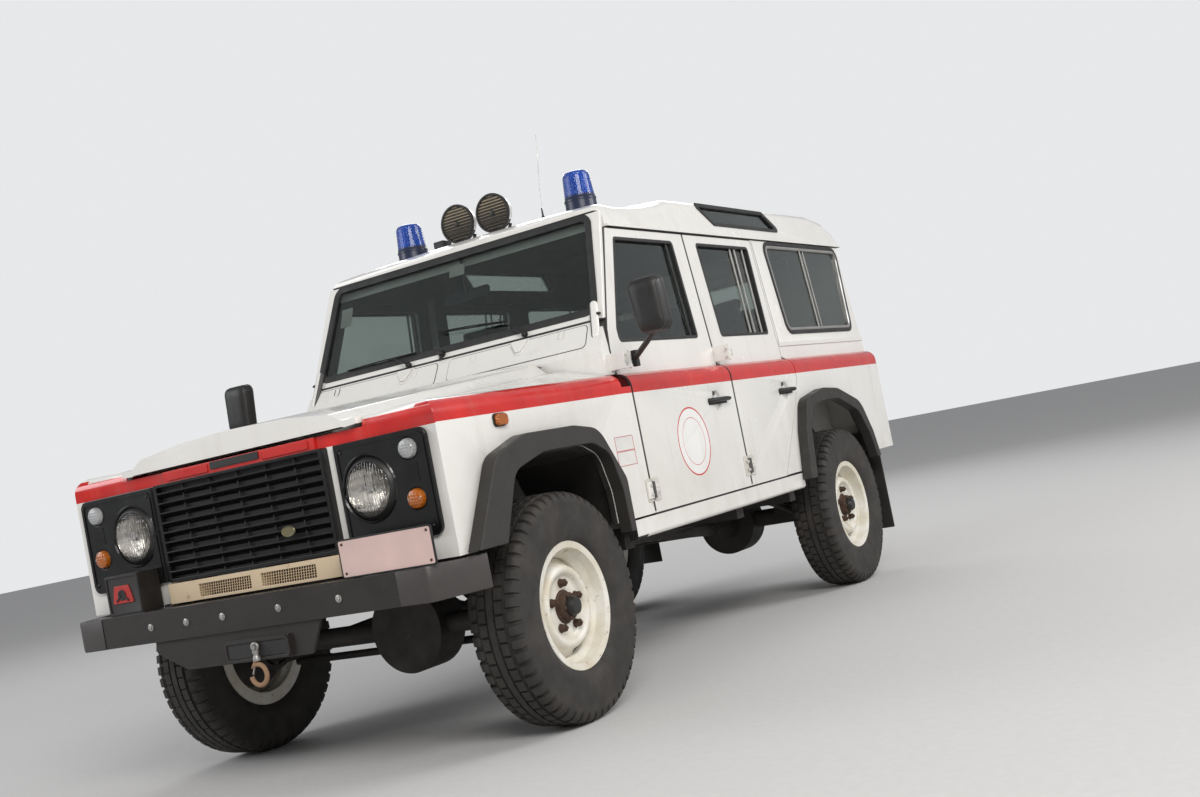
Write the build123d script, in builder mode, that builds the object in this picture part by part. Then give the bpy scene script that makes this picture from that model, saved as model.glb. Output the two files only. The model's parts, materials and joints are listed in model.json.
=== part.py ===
from build123d import *
from math import cos, radians, sin
import os

os.makedirs("parts", exist_ok=True)

# Frame: +X to the vehicle's left, the nose towards -Y, +Z up, ground at zero, millimetres

# Driving sizes
wheelbase = 2794
track = 1486
tyre_radius = 400
tyre_half_width = 103
half_width = 838
waist_z = 1132
shoulder_radius = 55
gutter_inset = 103
gutter_z = 1806
roof_crown_z = 2028
door_bottom_z = 633
front_axle_y = -1541
body_gap = 8
bumper_depth = 88
seat_gap = 0.3
door_skin = 55
upper_skin = 38
panel = 20
glass_thickness = 5

# Stations measured rearwards from the front axle
nose_back = -617
bumper_back = -735
bulkhead_back = 600
front_door_back = 675
b_post_back = 1596
rear_door_back = 2350
tail_back = 3575

# Worked out from the driving sizes
hub_z = tyre_radius
rear_axle_y = front_axle_y + wheelbase
wheel_x = track / 2
gutter_x = half_width - gutter_inset
shoulder_x = half_width - shoulder_radius
shoulder_z = waist_z + shoulder_radius
door_top_z = gutter_z - body_gap
tail_y = front_axle_y + tail_back
nose_y = front_axle_y + nose_back
bumper_y = front_axle_y + bumper_back
far = 3 * half_width


def across(y):
    """Cross-section plane at station y, drawn with X to the right and Z up."""
    return Plane(origin=(0, y, 0), x_dir=(1, 0, 0), z_dir=(0, -1, 0))


def side(x):
    """Side-view plane at x, drawn with Y to the right and Z up."""
    return Plane.YZ.offset(x)


def back(distance):
    """Y of a place that lies this far behind the front axle."""
    return front_axle_y + distance


def side_view(rows):
    """Side-view points of a table whose first column is measured back from the front axle."""
    return [(back(row[0]), *row[1:]) for row in rows]


def upper_x(z):
    """Outer half width of the body above the shoulder at height z."""
    lean = (shoulder_x - gutter_x) / (gutter_z - shoulder_z)
    return shoulder_x - lean * (z - shoulder_z)


def outline(points, corner=0):
    """Closed face through the points. A point's third value is the radius of its own corner."""
    radii = [point[2] if len(point) == 3 else corner for point in points]
    with BuildLine() as edge:
        FilletPolyline(*[point[:2] for point in points], radius=radii, close=True)
    make_face(edge.edges())


def wall_face(bottom, top, low_skin, high_skin):
    """Section of a side wall: flat side, rounded shoulder and leaning upper part."""
    with BuildLine() as edge:
        Line((half_width, bottom), (half_width, waist_z))
        TangentArc((half_width, waist_z), (shoulder_x, shoulder_z), tangent=(0, 1))
        Polyline(
            (shoulder_x, shoulder_z),
            (upper_x(top), top),
            (upper_x(top) - high_skin, top),
            (shoulder_x - high_skin, shoulder_z),
            (half_width - low_skin, waist_z),
            (half_width - low_skin, bottom),
            (half_width, bottom),
        )
    make_face(edge.edges())


def upper_face(bottom, top, skin, inset=0):
    """Section of the leaning upper wall alone, or of a pane set in it."""
    outline([
        (upper_x(bottom) - inset, bottom),
        (upper_x(top) - inset, top),
        (upper_x(top) - inset - skin, top),
        (upper_x(bottom) - inset - skin, bottom),
    ])


def block(low, high, mode=Mode.ADD):
    """Block between two opposite corners."""
    size = [abs(b - a) for a, b in zip(low, high)]
    middle = tuple((a + b) / 2 for a, b in zip(low, high))
    with Locations(middle):
        Box(*size, mode=mode)


def rod(start, end, radius):
    """Round bar between two points."""
    line = Vector(*end) - Vector(*start)
    with BuildSketch(Plane(origin=start, z_dir=line)) as section:
        Circle(radius)
    extrude(section.sketch, amount=line.length)


def turned(section, centre, radial, axis):
    """Solid of revolution: rows of place along the axis and radius, spun about the axis."""
    normal = Vector(*axis).cross(Vector(*radial))
    with BuildSketch(Plane(origin=centre, x_dir=axis, z_dir=normal)) as half:
        outline(section)
    return Solid.revolve(half.sketch.faces()[0], 360, Axis(centre, axis))


def ball_section(radius):
    """Half outline of a ball turned with flat bands, thirty degrees apart."""
    bands = [(radius * sin(radians(a)), radius * cos(radians(a))) for a in range(-60, 61, 30)]
    return [(-radius, 0)] + bands + [(radius, 0)]


def mirrored(piece):
    """The same piece on the other side of the vehicle."""
    with BuildPart() as other:
        mirror(piece.part, about=Plane.YZ)
    return other


# Outside hinges: a bored barrel on the moving panel between two lugs with the pin
hinge_stand_off = 10
barrel_radius = 7
knuckle_height = 36
lug_height = 14
leaf_length = 40
leaf_overlap = 2
leaf_end = 46
pin_radius = 3.5
lug_z = (knuckle_height + lug_height) / 2 + seat_gap
hinge_height = knuckle_height + 2 * lug_height + 2 * seat_gap
pin_setback = 5
side_pin_x = half_width + hinge_stand_off
upper_hinge_z = shoulder_z + 49
lower_hinge_z = door_bottom_z + 89


def moving_hinge(place, swing, reach):
    """Half on the panel: swing is the side of the pin where the panel lies."""
    with Locations(place):
        Cylinder(barrel_radius, knuckle_height)
        with Locations((-reach / 2, swing * leaf_length / 2, 0)):
            Box(reach, leaf_length, knuckle_height)
        Cylinder(pin_radius + seat_gap, knuckle_height, mode=Mode.SUBTRACT)


def fixed_hinge(place, swing, reach, end=leaf_end):
    """Half on the body: two lugs with their pin, and the leaf that carries them."""
    lug_reach = min(reach, barrel_radius)
    leaf = end - barrel_radius - 1
    with Locations(place):
        for z in (-lug_z, lug_z):
            with Locations((0, 0, z)):
                Cylinder(barrel_radius, lug_height)
                with Locations((-lug_reach / 2, -swing * end / 2, 0)):
                    Box(lug_reach, end, lug_height)
        with Locations((-reach / 2, -swing * (end - leaf / 2), 0)):
            Box(reach, leaf, hinge_height)
        Cylinder(pin_radius, hinge_height)


# Chassis: two box rails with kick-ups over the axles, cross members and outriggers
rail_x = 370
rail_width = 80
rail_low = 480
rail_high = 620
rail_inner_x = rail_x - rail_width / 2
# columns: back from the front axle, underside height, top height
rail_profile = (
    (bumper_back + bumper_depth + seat_gap, 548, 662),
    (-330, 560, 690),
    (-180, 620, 740),
    (220, 620, 740),
    (480, rail_low, rail_high),
    (wheelbase - 644, rail_low, rail_high),
    (wheelbase - 314, 620, 740),
    (wheelbase + 286, 640, 750),
    (tail_back - 75, 620, 740),
)
# columns: back from the front axle, width along the vehicle, underside height, top height
cross_members = (
    (-300, 70, 585, 650),
    (wheelbase - 594, 90, 500, 600),
    (wheelbase + 266, 80, 650, 735),
)
# columns: back from the front axle, underside height, top height
outriggers = ((560, 520, 600), (1580, 500, 600), (wheelbase - 604, 500, 600))
outrigger_half = 35
outrigger_x = half_width - 78
gearbox_member_back = 900
gearbox_member_width = 90
gearbox_member_low = 385
gearbox_member_depth = 80
gearbox_member_flat = 260
rear_member_half = half_width - 138
rear_member_depth = 75
rear_member_low = 610
rear_member_high = 742
tow_bolt_spacing = 83
tow_bolt_radius = 8
spring_x = 470
spring_radius = 58
spring_top_z = 745
tower_plate = 20

with BuildPart() as chassis_frame:
    with BuildSketch(side(rail_inner_x)):
        under = [(y, low) for y, low, high in rail_profile]
        over = [(y, high) for y, low, high in reversed(rail_profile)]
        outline(side_view(under + over))
    extrude(amount=rail_width)
    for y, width, low, high in cross_members:
        block((0, back(y) - width / 2, low), (rail_x, back(y) + width / 2, high))
    with BuildSketch(across(back(gearbox_member_back) - gearbox_member_width / 2)):
        outline([
            (0, gearbox_member_low),
            (gearbox_member_flat, gearbox_member_low),
            (rail_x, rail_low + panel / 2),
            (rail_x, rail_high - panel),
            (gearbox_member_flat, gearbox_member_low + gearbox_member_depth),
            (0, gearbox_member_low + gearbox_member_depth),
        ])
    extrude(amount=-gearbox_member_width)
    for y, low, high in outriggers:
        block((rail_x, back(y) - outrigger_half, low), (outrigger_x, back(y) + outrigger_half, high))
    for y in (front_axle_y, rear_axle_y):
        block(
            (rail_x, y - spring_radius, spring_top_z - tower_plate),
            (spring_x + spring_radius, y + spring_radius, spring_top_z),
        )
    mirror(about=Plane.YZ)
    block(
        (-rear_member_half, tail_y - rear_member_depth, rear_member_low),
        (rear_member_half, tail_y, rear_member_high),
    )
    with BuildSketch(across(tail_y)):
        with Locations((0, (rear_member_low + rear_member_high) / 2)):
            with GridLocations(tow_bolt_spacing, tow_bolt_spacing, 2, 2):
                Circle(tow_bolt_radius)
    extrude(amount=rear_member_depth, both=True, mode=Mode.SUBTRACT)

# Axles: tube, differential case and, in front, the swivel balls
axle_tube_radius = 38
diff_radius = 158
diff_width = 150
diff_x = 130
diff_nose = 260
nose_radius = 85
nose_taper = 8
kingpin_inset = 131
kingpin_x = wheel_x - kingpin_inset
ball_radius = 66
king_pin_radius = 14
shell_gap = 8
shell_radius = 92
stub_radius = 27
stub_end_x = wheel_x + 45
spring_seat_z = hub_z + 50
rear_flange_x = wheel_x - 50
rear_flange_radius = 75
rear_flange_width = 12


def axle_case(axle_y, nose_way):
    """Round differential case with the pinion nose towards the gearbox, and spring seats."""
    with BuildSketch(across(axle_y)) as case:
        with Locations((diff_x, hub_z)):
            Circle(diff_radius)
    extrude(case.sketch, amount=diff_width / 2, both=True)
    nose_plane = Plane(origin=(diff_x, axle_y, hub_z), x_dir=(1, 0, 0), z_dir=(0, nose_way, 0))
    with BuildSketch(nose_plane) as nose:
        Circle(nose_radius)
    extrude(nose.sketch, amount=diff_nose, taper=nose_taper)
    for end in (-1, 1):
        block(
            (end * spring_x - spring_radius, axle_y - spring_radius, hub_z),
            (end * spring_x + spring_radius, axle_y + spring_radius, spring_seat_z),
        )


with BuildPart() as front_axle:
    rod((-kingpin_x, front_axle_y, hub_z), (kingpin_x, front_axle_y, hub_z), axle_tube_radius)
    axle_case(front_axle_y, 1)
    for end in (-1, 1):
        centre = (end * kingpin_x, front_axle_y, hub_z)
        add(turned(ball_section(ball_radius), centre, (1, 0, 0), (0, 0, 1)))
        with Locations(centre):
            Cylinder(king_pin_radius + seat_gap, 3 * ball_radius, mode=Mode.SUBTRACT)

with BuildPart() as rear_axle:
    rod((-rear_flange_x, rear_axle_y, hub_z), (rear_flange_x, rear_axle_y, hub_z), axle_tube_radius + 6)
    rod((-stub_end_x, rear_axle_y, hub_z), (stub_end_x, rear_axle_y, hub_z), stub_radius)
    axle_case(rear_axle_y, -1)
    for end in (-1, 1):
        rod(
            (end * (rear_flange_x - rear_flange_width), rear_axle_y, hub_z),
            (end * rear_flange_x, rear_axle_y, hub_z),
            rear_flange_radius,
        )

# Swivel housings that steer, each with its stub axle and steering arm
arm_length = 150
arm_half_width = 18
arm_thickness = 16
arm_root = 45
arm_top_z = hub_z - 60
track_rod_radius = 15
track_rod_overhang = 20
track_rod_z = arm_top_z - arm_thickness - seat_gap - track_rod_radius
pin_overhang = 4

with BuildPart() as knuckle_left:
    cavity = ball_radius + shell_gap
    outer = [row for row in ball_section(shell_radius) if row[0] > -1]
    inner = [row for row in ball_section(cavity) if row[0] > -1]
    shell = [(-king_pin_radius, shell_radius)] + outer + inner[::-1] + [(-king_pin_radius, cavity)]
    add(turned(shell, (kingpin_x, front_axle_y, hub_z), (0, 0, 1), (1, 0, 0)))
    for end in (-1, 1):
        rod(
            (kingpin_x, front_axle_y, hub_z + end * (axle_tube_radius + 8)),
            (kingpin_x, front_axle_y, hub_z + end * (shell_radius + pin_overhang)),
            king_pin_radius,
        )
    rod((kingpin_x + cavity - 1, front_axle_y, hub_z), (stub_end_x, front_axle_y, hub_z), stub_radius)
    block(
        (kingpin_x - arm_half_width, front_axle_y + arm_root, arm_top_z - arm_thickness),
        (kingpin_x + arm_half_width, front_axle_y + arm_length + arm_half_width, arm_top_z),
    )
knuckle_right = mirrored(knuckle_left)

with BuildPart() as track_rod:
    rod_end = kingpin_x + track_rod_overhang
    rod(
        (-rod_end, front_axle_y + arm_length, track_rod_z),
        (rod_end, front_axle_y + arm_length, track_rod_z),
        track_rod_radius,
    )

# Springs between axles and frame, and the arms that locate the axles
spring_low = spring_seat_z + seat_gap
spring_high = spring_top_z - tower_plate - seat_gap
spring_coil = spring_radius - 6
link_radius = 20
link_straight = 35
front_link_x = 320
front_link_end = gearbox_member_back - gearbox_member_width / 2 - seat_gap
front_link_end_z = gearbox_member_low + 65
rear_link_x = 560
rear_link_end = wheelbase - 604 + outrigger_half + seat_gap
rear_link_end_z = 530


def bar(points, radius):
    """Round bar along straight runs, with a ball at each bend."""
    for start, end in zip(points, points[1:]):
        rod(start, end, radius)
    for place in points[1:-1]:
        with Locations(place):
            Sphere(radius)


with BuildPart() as suspension:
    for y in (front_axle_y, rear_axle_y):
        rod((spring_x, y, spring_low), (spring_x, y, spring_high), spring_coil)
    front_start = axle_tube_radius + seat_gap
    front_route = (
        (front_start, hub_z),
        (front_start + link_straight, hub_z),
        (front_link_end - link_straight, front_link_end_z),
        (front_link_end, front_link_end_z),
    )
    bar([(front_link_x, back(y), z) for y, z in front_route], link_radius)
    rear_start = wheelbase - axle_tube_radius - 6 - seat_gap
    rear_route = (
        (rear_start, hub_z),
        (rear_start - link_straight, hub_z),
        (rear_link_end + link_straight, rear_link_end_z),
        (rear_link_end, rear_link_end_z),
    )
    bar([(rear_link_x, back(y), z) for y, z in rear_route], link_radius)
    mirror(about=Plane.YZ)

# Wheels: dished steel disc in a drop-centre rim, on a hub that turns on the stub axle
rim_half = 82
bead_half = 76
rim_seat_radius = 203
rim_flange_radius = rim_seat_radius + 17
rim_sheet = 6
well_radius = rim_seat_radius - 23
hub_radius = 52
hub_inner = -38
hub_outer = 52
cap_radius = 33
cap_end = 86
stub_end = stub_end_x - wheel_x
brake_disc_radius = 148
brake_disc_thickness = 14
disc_seat = 25
disc_sheet = 7
dome_radius = 128
dome_height = 52
dish_radius = 106
# columns: place along the axle outwards from the wheel's middle plane, radius
rim_section = (
    (-bead_half, rim_flange_radius),
    (-bead_half, rim_seat_radius),
    (-45, rim_seat_radius),
    (-30, well_radius),
    (15, well_radius),
    (35, rim_seat_radius),
    (bead_half, rim_seat_radius),
    (bead_half, rim_flange_radius),
    (rim_half, rim_flange_radius),
    (rim_half, rim_seat_radius - rim_sheet),
    (38, rim_seat_radius - rim_sheet),
    (18, well_radius - rim_sheet),
    (-33, well_radius - rim_sheet),
    (-48, rim_seat_radius - rim_sheet),
    (-rim_half, rim_seat_radius - rim_sheet),
    (-rim_half, rim_flange_radius),
)
disc_section = (
    (8, well_radius - rim_sheet / 2),
    (20, dome_radius + 24),
    (dome_height - 6, dome_radius + 14),
    (dome_height, dome_radius),
    (dome_height - 6, dome_radius - 14),
    (disc_seat + disc_sheet, dish_radius),
    (disc_seat + disc_sheet, hub_radius - 2),
    (disc_seat, hub_radius - 2),
    (disc_seat, dish_radius + 6),
    (dome_height - 13, dome_radius - 9),
    (dome_height - 8, dome_radius),
    (dome_height - 13, dome_radius + 8),
    (13, dome_radius + 18),
    (1, well_radius - rim_sheet / 2),
)
hub_section = (
    (hub_inner, stub_radius + seat_gap),
    (hub_inner, brake_disc_radius),
    (hub_inner + brake_disc_thickness, brake_disc_radius),
    (hub_inner + brake_disc_thickness, hub_radius),
    (hub_outer, hub_radius),
    (hub_outer, cap_radius),
    (cap_end, cap_radius),
    (cap_end, 0),
    (stub_end + seat_gap, 0),
    (stub_end + seat_gap, stub_radius + seat_gap),
)
tyre_bead_half = bead_half - seat_gap
# Tyres: closed rings that sit on the bead seats, tread left plain
tyre_section = (
    (-tyre_bead_half, rim_seat_radius + seat_gap),
    (-tyre_bead_half, rim_flange_radius + seat_gap),
    (6 - tyre_half_width, tyre_radius - 150),
    (-tyre_half_width, tyre_radius - 90),
    (4 - tyre_half_width, tyre_radius - 28),
    (19 - tyre_half_width, tyre_radius - 7),
    (43 - tyre_half_width, tyre_radius),
    (tyre_half_width - 43, tyre_radius),
    (tyre_half_width - 19, tyre_radius - 7),
    (tyre_half_width - 4, tyre_radius - 28),
    (tyre_half_width, tyre_radius - 90),
    (tyre_half_width - 6, tyre_radius - 150),
    (tyre_bead_half, rim_flange_radius + seat_gap),
    (tyre_bead_half, rim_seat_radius + seat_gap),
)
outwards = (1, 0, 0)
upwards = (0, 0, 1)


def road_wheel(centre_y):
    """Rim, disc, hub and brake disc of a left-hand wheel."""
    for section in (rim_section, disc_section, hub_section):
        add(turned(section, (wheel_x, centre_y, hub_z), upwards, outwards))


with BuildPart() as wheel_front_left:
    road_wheel(front_axle_y)
with BuildPart() as wheel_rear_left:
    road_wheel(rear_axle_y)
with BuildPart() as tyre_front_left:
    add(turned(tyre_section, (wheel_x, front_axle_y, hub_z), upwards, outwards))
with BuildPart() as tyre_rear_left:
    add(turned(tyre_section, (wheel_x, rear_axle_y, hub_z), upwards, outwards))
wheel_front_right = mirrored(wheel_front_left)
wheel_rear_right = mirrored(wheel_rear_left)
tyre_front_right = mirrored(tyre_front_left)
tyre_rear_right = mirrored(tyre_rear_left)

# Engine as one plain block, with the gearbox, the transfer box and the propeller shafts
engine_half = 250
engine_front = -300
engine_end = 450
engine_low = 660
engine_high = 1080
engine_mount_half = 40
gearbox_inner_x = diff_x - 60
gearbox_outer_x = diff_x - 250
gearbox_low = 500
gearbox_high = 780
gearbox_end = 960
transfer_right_x = diff_x - 290
transfer_left_x = diff_x + 170
transfer_high = 655
transfer_end = 1330
shaft_boss_radius = 50
shaft_boss_length = 20
shaft_z = 520
shaft_radius = 30
flange_radius = 48
flange_width = 12
flange_room = 7

with BuildPart() as powertrain:
    mount_reach = rail_inner_x - seat_gap
    block((-engine_half, back(engine_front), engine_low), (engine_half, back(engine_end), engine_high))
    block(
        (-mount_reach, back(-engine_mount_half), engine_low),
        (mount_reach, back(engine_mount_half), engine_low + engine_mount_half),
    )
    block(
        (gearbox_outer_x, back(engine_end), gearbox_low),
        (gearbox_inner_x, back(gearbox_end), gearbox_high),
    )
    block(
        (transfer_right_x, back(gearbox_end), rail_low),
        (transfer_left_x, back(transfer_end), transfer_high),
    )
    boss_front = gearbox_end - shaft_boss_length
    rod((diff_x, back(boss_front), shaft_z), (diff_x, back(gearbox_end), shaft_z), shaft_boss_radius)
    pinion = diff_nose + seat_gap
    front_flange = boss_front - seat_gap
    rear_flange = transfer_end + seat_gap
    rod(
        (diff_x, back(pinion + flange_room), hub_z),
        (diff_x, back(front_flange - flange_room), shaft_z),
        shaft_radius,
    )
    rod(
        (diff_x, back(rear_flange + flange_room), shaft_z),
        (diff_x, back(wheelbase - pinion - flange_room), hub_z),
        shaft_radius,
    )
    shaft_flanges = (
        (pinion, hub_z, 1),
        (front_flange, shaft_z, -1),
        (rear_flange, shaft_z, 1),
        (wheelbase - pinion, hub_z, -1),
    )
    for y, z, way in shaft_flanges:
        rod((diff_x, back(y), z), (diff_x, back(y + way * flange_width), z), flange_radius)

# Cab floor with the tunnel, the seat box, the sills and the posts between the doors
floor_z = door_bottom_z + 32
rear_floor_z = floor_z + 55
sill_bottom_z = door_bottom_z - 81
sill_top_z = door_bottom_z - body_gap
sill_depth = 40
sill_lip = 18
sill_front = bulkhead_back - 100
sill_end = rear_door_back - 150
floor_front = bulkhead_back + 40
tunnel_outer = 230
tunnel_cover_z = 835
cab_wall_x = half_width - 138
seat_box_front = b_post_back - 566
seat_box_end = b_post_back - 36
seat_box_top = 935
rear_seat_front = rear_door_back - 390
rear_seat_end = rear_door_back - 10
rear_seat_top = 930
post_front = b_post_back - 40
post_end = b_post_back + 44
post_depth = 40
post_gap = body_gap + seat_gap

with BuildPart() as cab_floor:
    wall_inner = cab_wall_x - panel
    front_riser = back(seat_box_front + panel)
    tunnel_inner = tunnel_outer - panel
    cover_top = tunnel_cover_z + panel
    rear_floor_top = rear_floor_z + panel
    floor_start = back(floor_front)
    box_start = back(seat_box_front)
    box_end = back(seat_box_end)
    box_rear_wall = back(seat_box_end - panel)
    bench_start = back(rear_seat_front)
    bench_end = back(rear_seat_end)
    block((tunnel_inner, floor_start, floor_z), (cab_wall_x, box_end, floor_z + panel))
    block((0, floor_start, tunnel_cover_z), (tunnel_outer, front_riser, cover_top))
    block((tunnel_inner, floor_start, floor_z), (tunnel_outer, front_riser, cover_top))
    block((0, box_start, tunnel_cover_z), (cab_wall_x, front_riser, seat_box_top))
    block((tunnel_inner, box_start, floor_z), (cab_wall_x, front_riser, seat_box_top))
    block((0, box_start, seat_box_top - panel), (cab_wall_x, box_end, seat_box_top))
    block((0, box_rear_wall, rear_floor_z), (cab_wall_x, box_end, seat_box_top))
    block((0, box_rear_wall, rear_floor_z), (cab_wall_x, bench_end, rear_floor_top))
    block((wall_inner, box_start, floor_z), (cab_wall_x, bench_end, rear_floor_top))
    block((0, bench_start, rear_floor_z), (cab_wall_x, back(rear_seat_front + panel), rear_seat_top))
    block((0, bench_start, rear_seat_top - panel), (cab_wall_x, bench_end, rear_seat_top))
    with BuildSketch(across(back(sill_front))):
        outline([
            (half_width, sill_top_z),
            (half_width, sill_bottom_z, sill_lip),
            (half_width - sill_depth, sill_bottom_z),
            (half_width - sill_depth, sill_top_z),
        ])
    extrude(amount=sill_front - sill_end)
    door_sill = half_width - sill_depth + panel / 2
    sill_shelf = (wall_inner, back(floor_front + panel / 2), sill_top_z - panel)
    block(sill_shelf, (door_sill, back(sill_end), sill_top_z))
    block(sill_shelf, (cab_wall_x, box_end, floor_z + panel))
    with BuildSketch(across(back(post_front))):
        low_x = half_width - door_skin - post_gap
        high_skin = upper_skin + post_gap
        outline([
            (low_x, sill_top_z - panel / 2),
            (low_x, waist_z),
            (shoulder_x - high_skin, shoulder_z),
            (upper_x(gutter_z) - high_skin, gutter_z - seat_gap),
            (upper_x(gutter_z) - high_skin - post_depth, gutter_z - seat_gap),
            (shoulder_x - high_skin - post_depth, shoulder_z),
            (low_x - post_depth - panel, sill_top_z - panel / 2),
        ])
    extrude(amount=post_front - post_end)
    for z in (upper_hinge_z, lower_hinge_z):
        pin_y = back(b_post_back + body_gap / 2 + pin_setback)
        reach = side_pin_x - shoulder_x + high_skin + panel
        fixed_hinge((side_pin_x, pin_y, z), 1, reach, barrel_radius + 4)
    mirror(about=Plane.YZ)

# Bulkhead: wall between engine and cab, side pillars, ventilator panel and bonnet hinges
bulkhead_half = half_width - 122
pillar_inner_x = half_width - 138
pillar_outer_x = half_width - 66
bulkhead_thickness = 40
bulkhead_top = 1290
tunnel_half = tunnel_outer - 15
tunnel_top = tunnel_cover_z + 25
scuttle_z = 1418
scuttle_depth = 60
windscreen_foot = 690
windscreen_rake = 0.437
bonnet_hinge_x = 470
bonnet_pin = 588
bonnet_pin_z = bulkhead_top - 4
bonnet_lug_x = 22
bonnet_lug_width = 14

with BuildPart() as bulkhead:
    with BuildSketch(side(0)):
        inner = bulkhead_back + bulkhead_thickness - seat_gap
        outline(side_view([
            (bulkhead_back, floor_z - 40),
            (bulkhead_back, bulkhead_top),
            (windscreen_foot, scuttle_z),
            (windscreen_foot + scuttle_depth, scuttle_z),
            (windscreen_foot + scuttle_depth, scuttle_z - panel),
            (inner, bulkhead_top - panel),
            (inner, floor_z - 40),
        ]))
    extrude(amount=bulkhead_half)
    block((0, back(0), 0), (tunnel_half, back(2 * bulkhead_back), tunnel_top), Mode.SUBTRACT)
    with BuildSketch(across(back(bulkhead_back))):
        outline([
            (bulkhead_half, shoulder_z + 3),
            (upper_x(shoulder_z + 3), shoulder_z + 3),
            (upper_x(scuttle_z), scuttle_z),
            (bulkhead_half, scuttle_z),
        ])
    extrude(amount=-(front_door_back - bulkhead_back - body_gap))
    block(
        (pillar_inner_x, back(bulkhead_back + 4), floor_z),
        (pillar_outer_x, back(front_door_back - body_gap), shoulder_z + 3),
    )
    with BuildSketch(side(0)):
        outline(side_view([
            (bulkhead_back, bulkhead_top),
            (windscreen_foot, scuttle_z),
            (bulkhead_back, scuttle_z),
        ]))
    extrude(amount=far, mode=Mode.SUBTRACT)
    hinge_y = back(front_door_back + pin_setback)
    fixed_hinge((side_pin_x, hinge_y, upper_hinge_z), 1, side_pin_x - pillar_outer_x + leaf_overlap)
    for way in (-1, 1):
        x = bonnet_hinge_x + way * bonnet_lug_x
        half = bonnet_lug_width / 2
        pin_y = back(bonnet_pin)
        rod((x - half, pin_y, bonnet_pin_z), (x + half, pin_y, bonnet_pin_z), barrel_radius)
        block(
            (x - half, pin_y, bonnet_pin_z - barrel_radius),
            (x + half, back(bulkhead_back + leaf_overlap), bonnet_pin_z + leaf_overlap),
        )
    rod(
        (bonnet_hinge_x - bonnet_lug_x, pin_y, bonnet_pin_z),
        (bonnet_hinge_x + bonnet_lug_x, pin_y, bonnet_pin_z),
        pin_radius,
    )
    mirror(about=Plane.YZ)

# Windscreen frame, a raked surround, and its glass
frame_depth = 24
frame_foot_z = scuttle_z + seat_gap
frame_top_z = 1872
glass_corner = 45
glass_set_in = 8
glass_foot_z = frame_foot_z + 32
glass_top_z = frame_top_z - 15
glass_foot_half = upper_x(glass_foot_z) - 31
glass_top_half = upper_x(glass_top_z) - 50


def raked(z):
    """Y of the windscreen's front face at height z."""
    return back(windscreen_foot) + windscreen_rake * (z - scuttle_z)


def raked_slab(front_inset, depth):
    """Slab that lies along the windscreen's slope."""
    with BuildSketch(side(-half_width)) as slab:
        outline([
            (raked(frame_foot_z) + front_inset, frame_foot_z),
            (raked(frame_top_z) + front_inset, frame_top_z),
            (raked(frame_top_z) + front_inset + depth, frame_top_z),
            (raked(frame_foot_z) + front_inset + depth, frame_foot_z),
        ])
    extrude(slab.sketch, amount=2 * half_width)


def front_view(shape, corner, mode):
    """Cut or keep what the front view's outline covers."""
    with BuildSketch(across(back(0))) as view:
        outline(shape, corner)
    extrude(view.sketch, amount=-far, mode=mode)


def glass_outline(gap):
    """Four corners of the windscreen opening, drawn in by the gap."""
    return [
        (-glass_foot_half + gap, glass_foot_z + gap),
        (glass_foot_half - gap, glass_foot_z + gap),
        (glass_top_half - gap, glass_top_z - gap),
        (-glass_top_half + gap, glass_top_z - gap),
    ]


with BuildPart() as windscreen_frame:
    raked_slab(0, frame_depth)
    front_view([
        (-upper_x(frame_foot_z), frame_foot_z),
        (upper_x(frame_foot_z), frame_foot_z),
        (upper_x(frame_top_z), frame_top_z),
        (-upper_x(frame_top_z), frame_top_z),
    ], 0, Mode.INTERSECT)
    front_view(glass_outline(0), glass_corner, Mode.SUBTRACT)

# Roof: crowned shell with rounded cant rails and gutters, cut for the two corner windows
roof_shell = 25
roof_lean = 0.264
cant_radius = 55
gutter_width = 12
gutter_height = 10
header_front = 905
header_lean = 22
brow_front = 883
brow_z = frame_top_z + 5
roof_end = tail_back + 60
# columns: back from the front axle, below the crown at the cant rail, below the crown at the middle
roof_stations = (
    (brow_front, 136, 128),
    (brow_front + 102, 76, 52),
    (brow_front + 317, 48, 18),
    (brow_front + 717, 40, 0),
    (roof_end - 285, 40, 0),
    (roof_end - 105, 66, 32),
    (roof_end - 16, 128, 102),
    (roof_end, 172, 158),
)
corner_window_low = roof_crown_z - 158
corner_window_high = roof_crown_z - 62
# columns: back from the front axle, height
corner_window = (
    (1882, corner_window_high), (2008, corner_window_low),
    (2797, corner_window_low), (2684, corner_window_high),
)


def roof_face(station, inset):
    """Roof's cross-section: leaning sides, rounded cant rails and a crowned top."""
    y, cant_drop, crown_drop = station
    cant_z = roof_crown_z - cant_drop - inset
    cant_x = gutter_x - inset - roof_lean * (cant_z + inset - gutter_z)
    with BuildSketch(across(back(y))) as section:
        with BuildLine():
            ThreePointArc((-cant_x, cant_z), (0, roof_crown_z - crown_drop - inset), (cant_x, cant_z))
            foot_x = gutter_x - inset
            Polyline((cant_x, cant_z), (foot_x, gutter_z), (-foot_x, gutter_z), (-cant_x, cant_z))
        make_face()
        fillet(section.vertices().group_by(Axis.Y)[-1], cant_radius - inset)
    return section.sketch.faces()[0]


def roof_solid(inset, shorten):
    """Loft along the roof's stations, drawn in at the surface and at both ends."""
    middle = (brow_front + roof_end) / 2
    wires = []
    for y, cant_drop, crown_drop in roof_stations:
        moved = y + shorten if y < middle else y - shorten
        wires.append(roof_face((moved, cant_drop, crown_drop), inset).outer_wire())
    return Solid.make_loft(wires, ruled=True)


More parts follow.
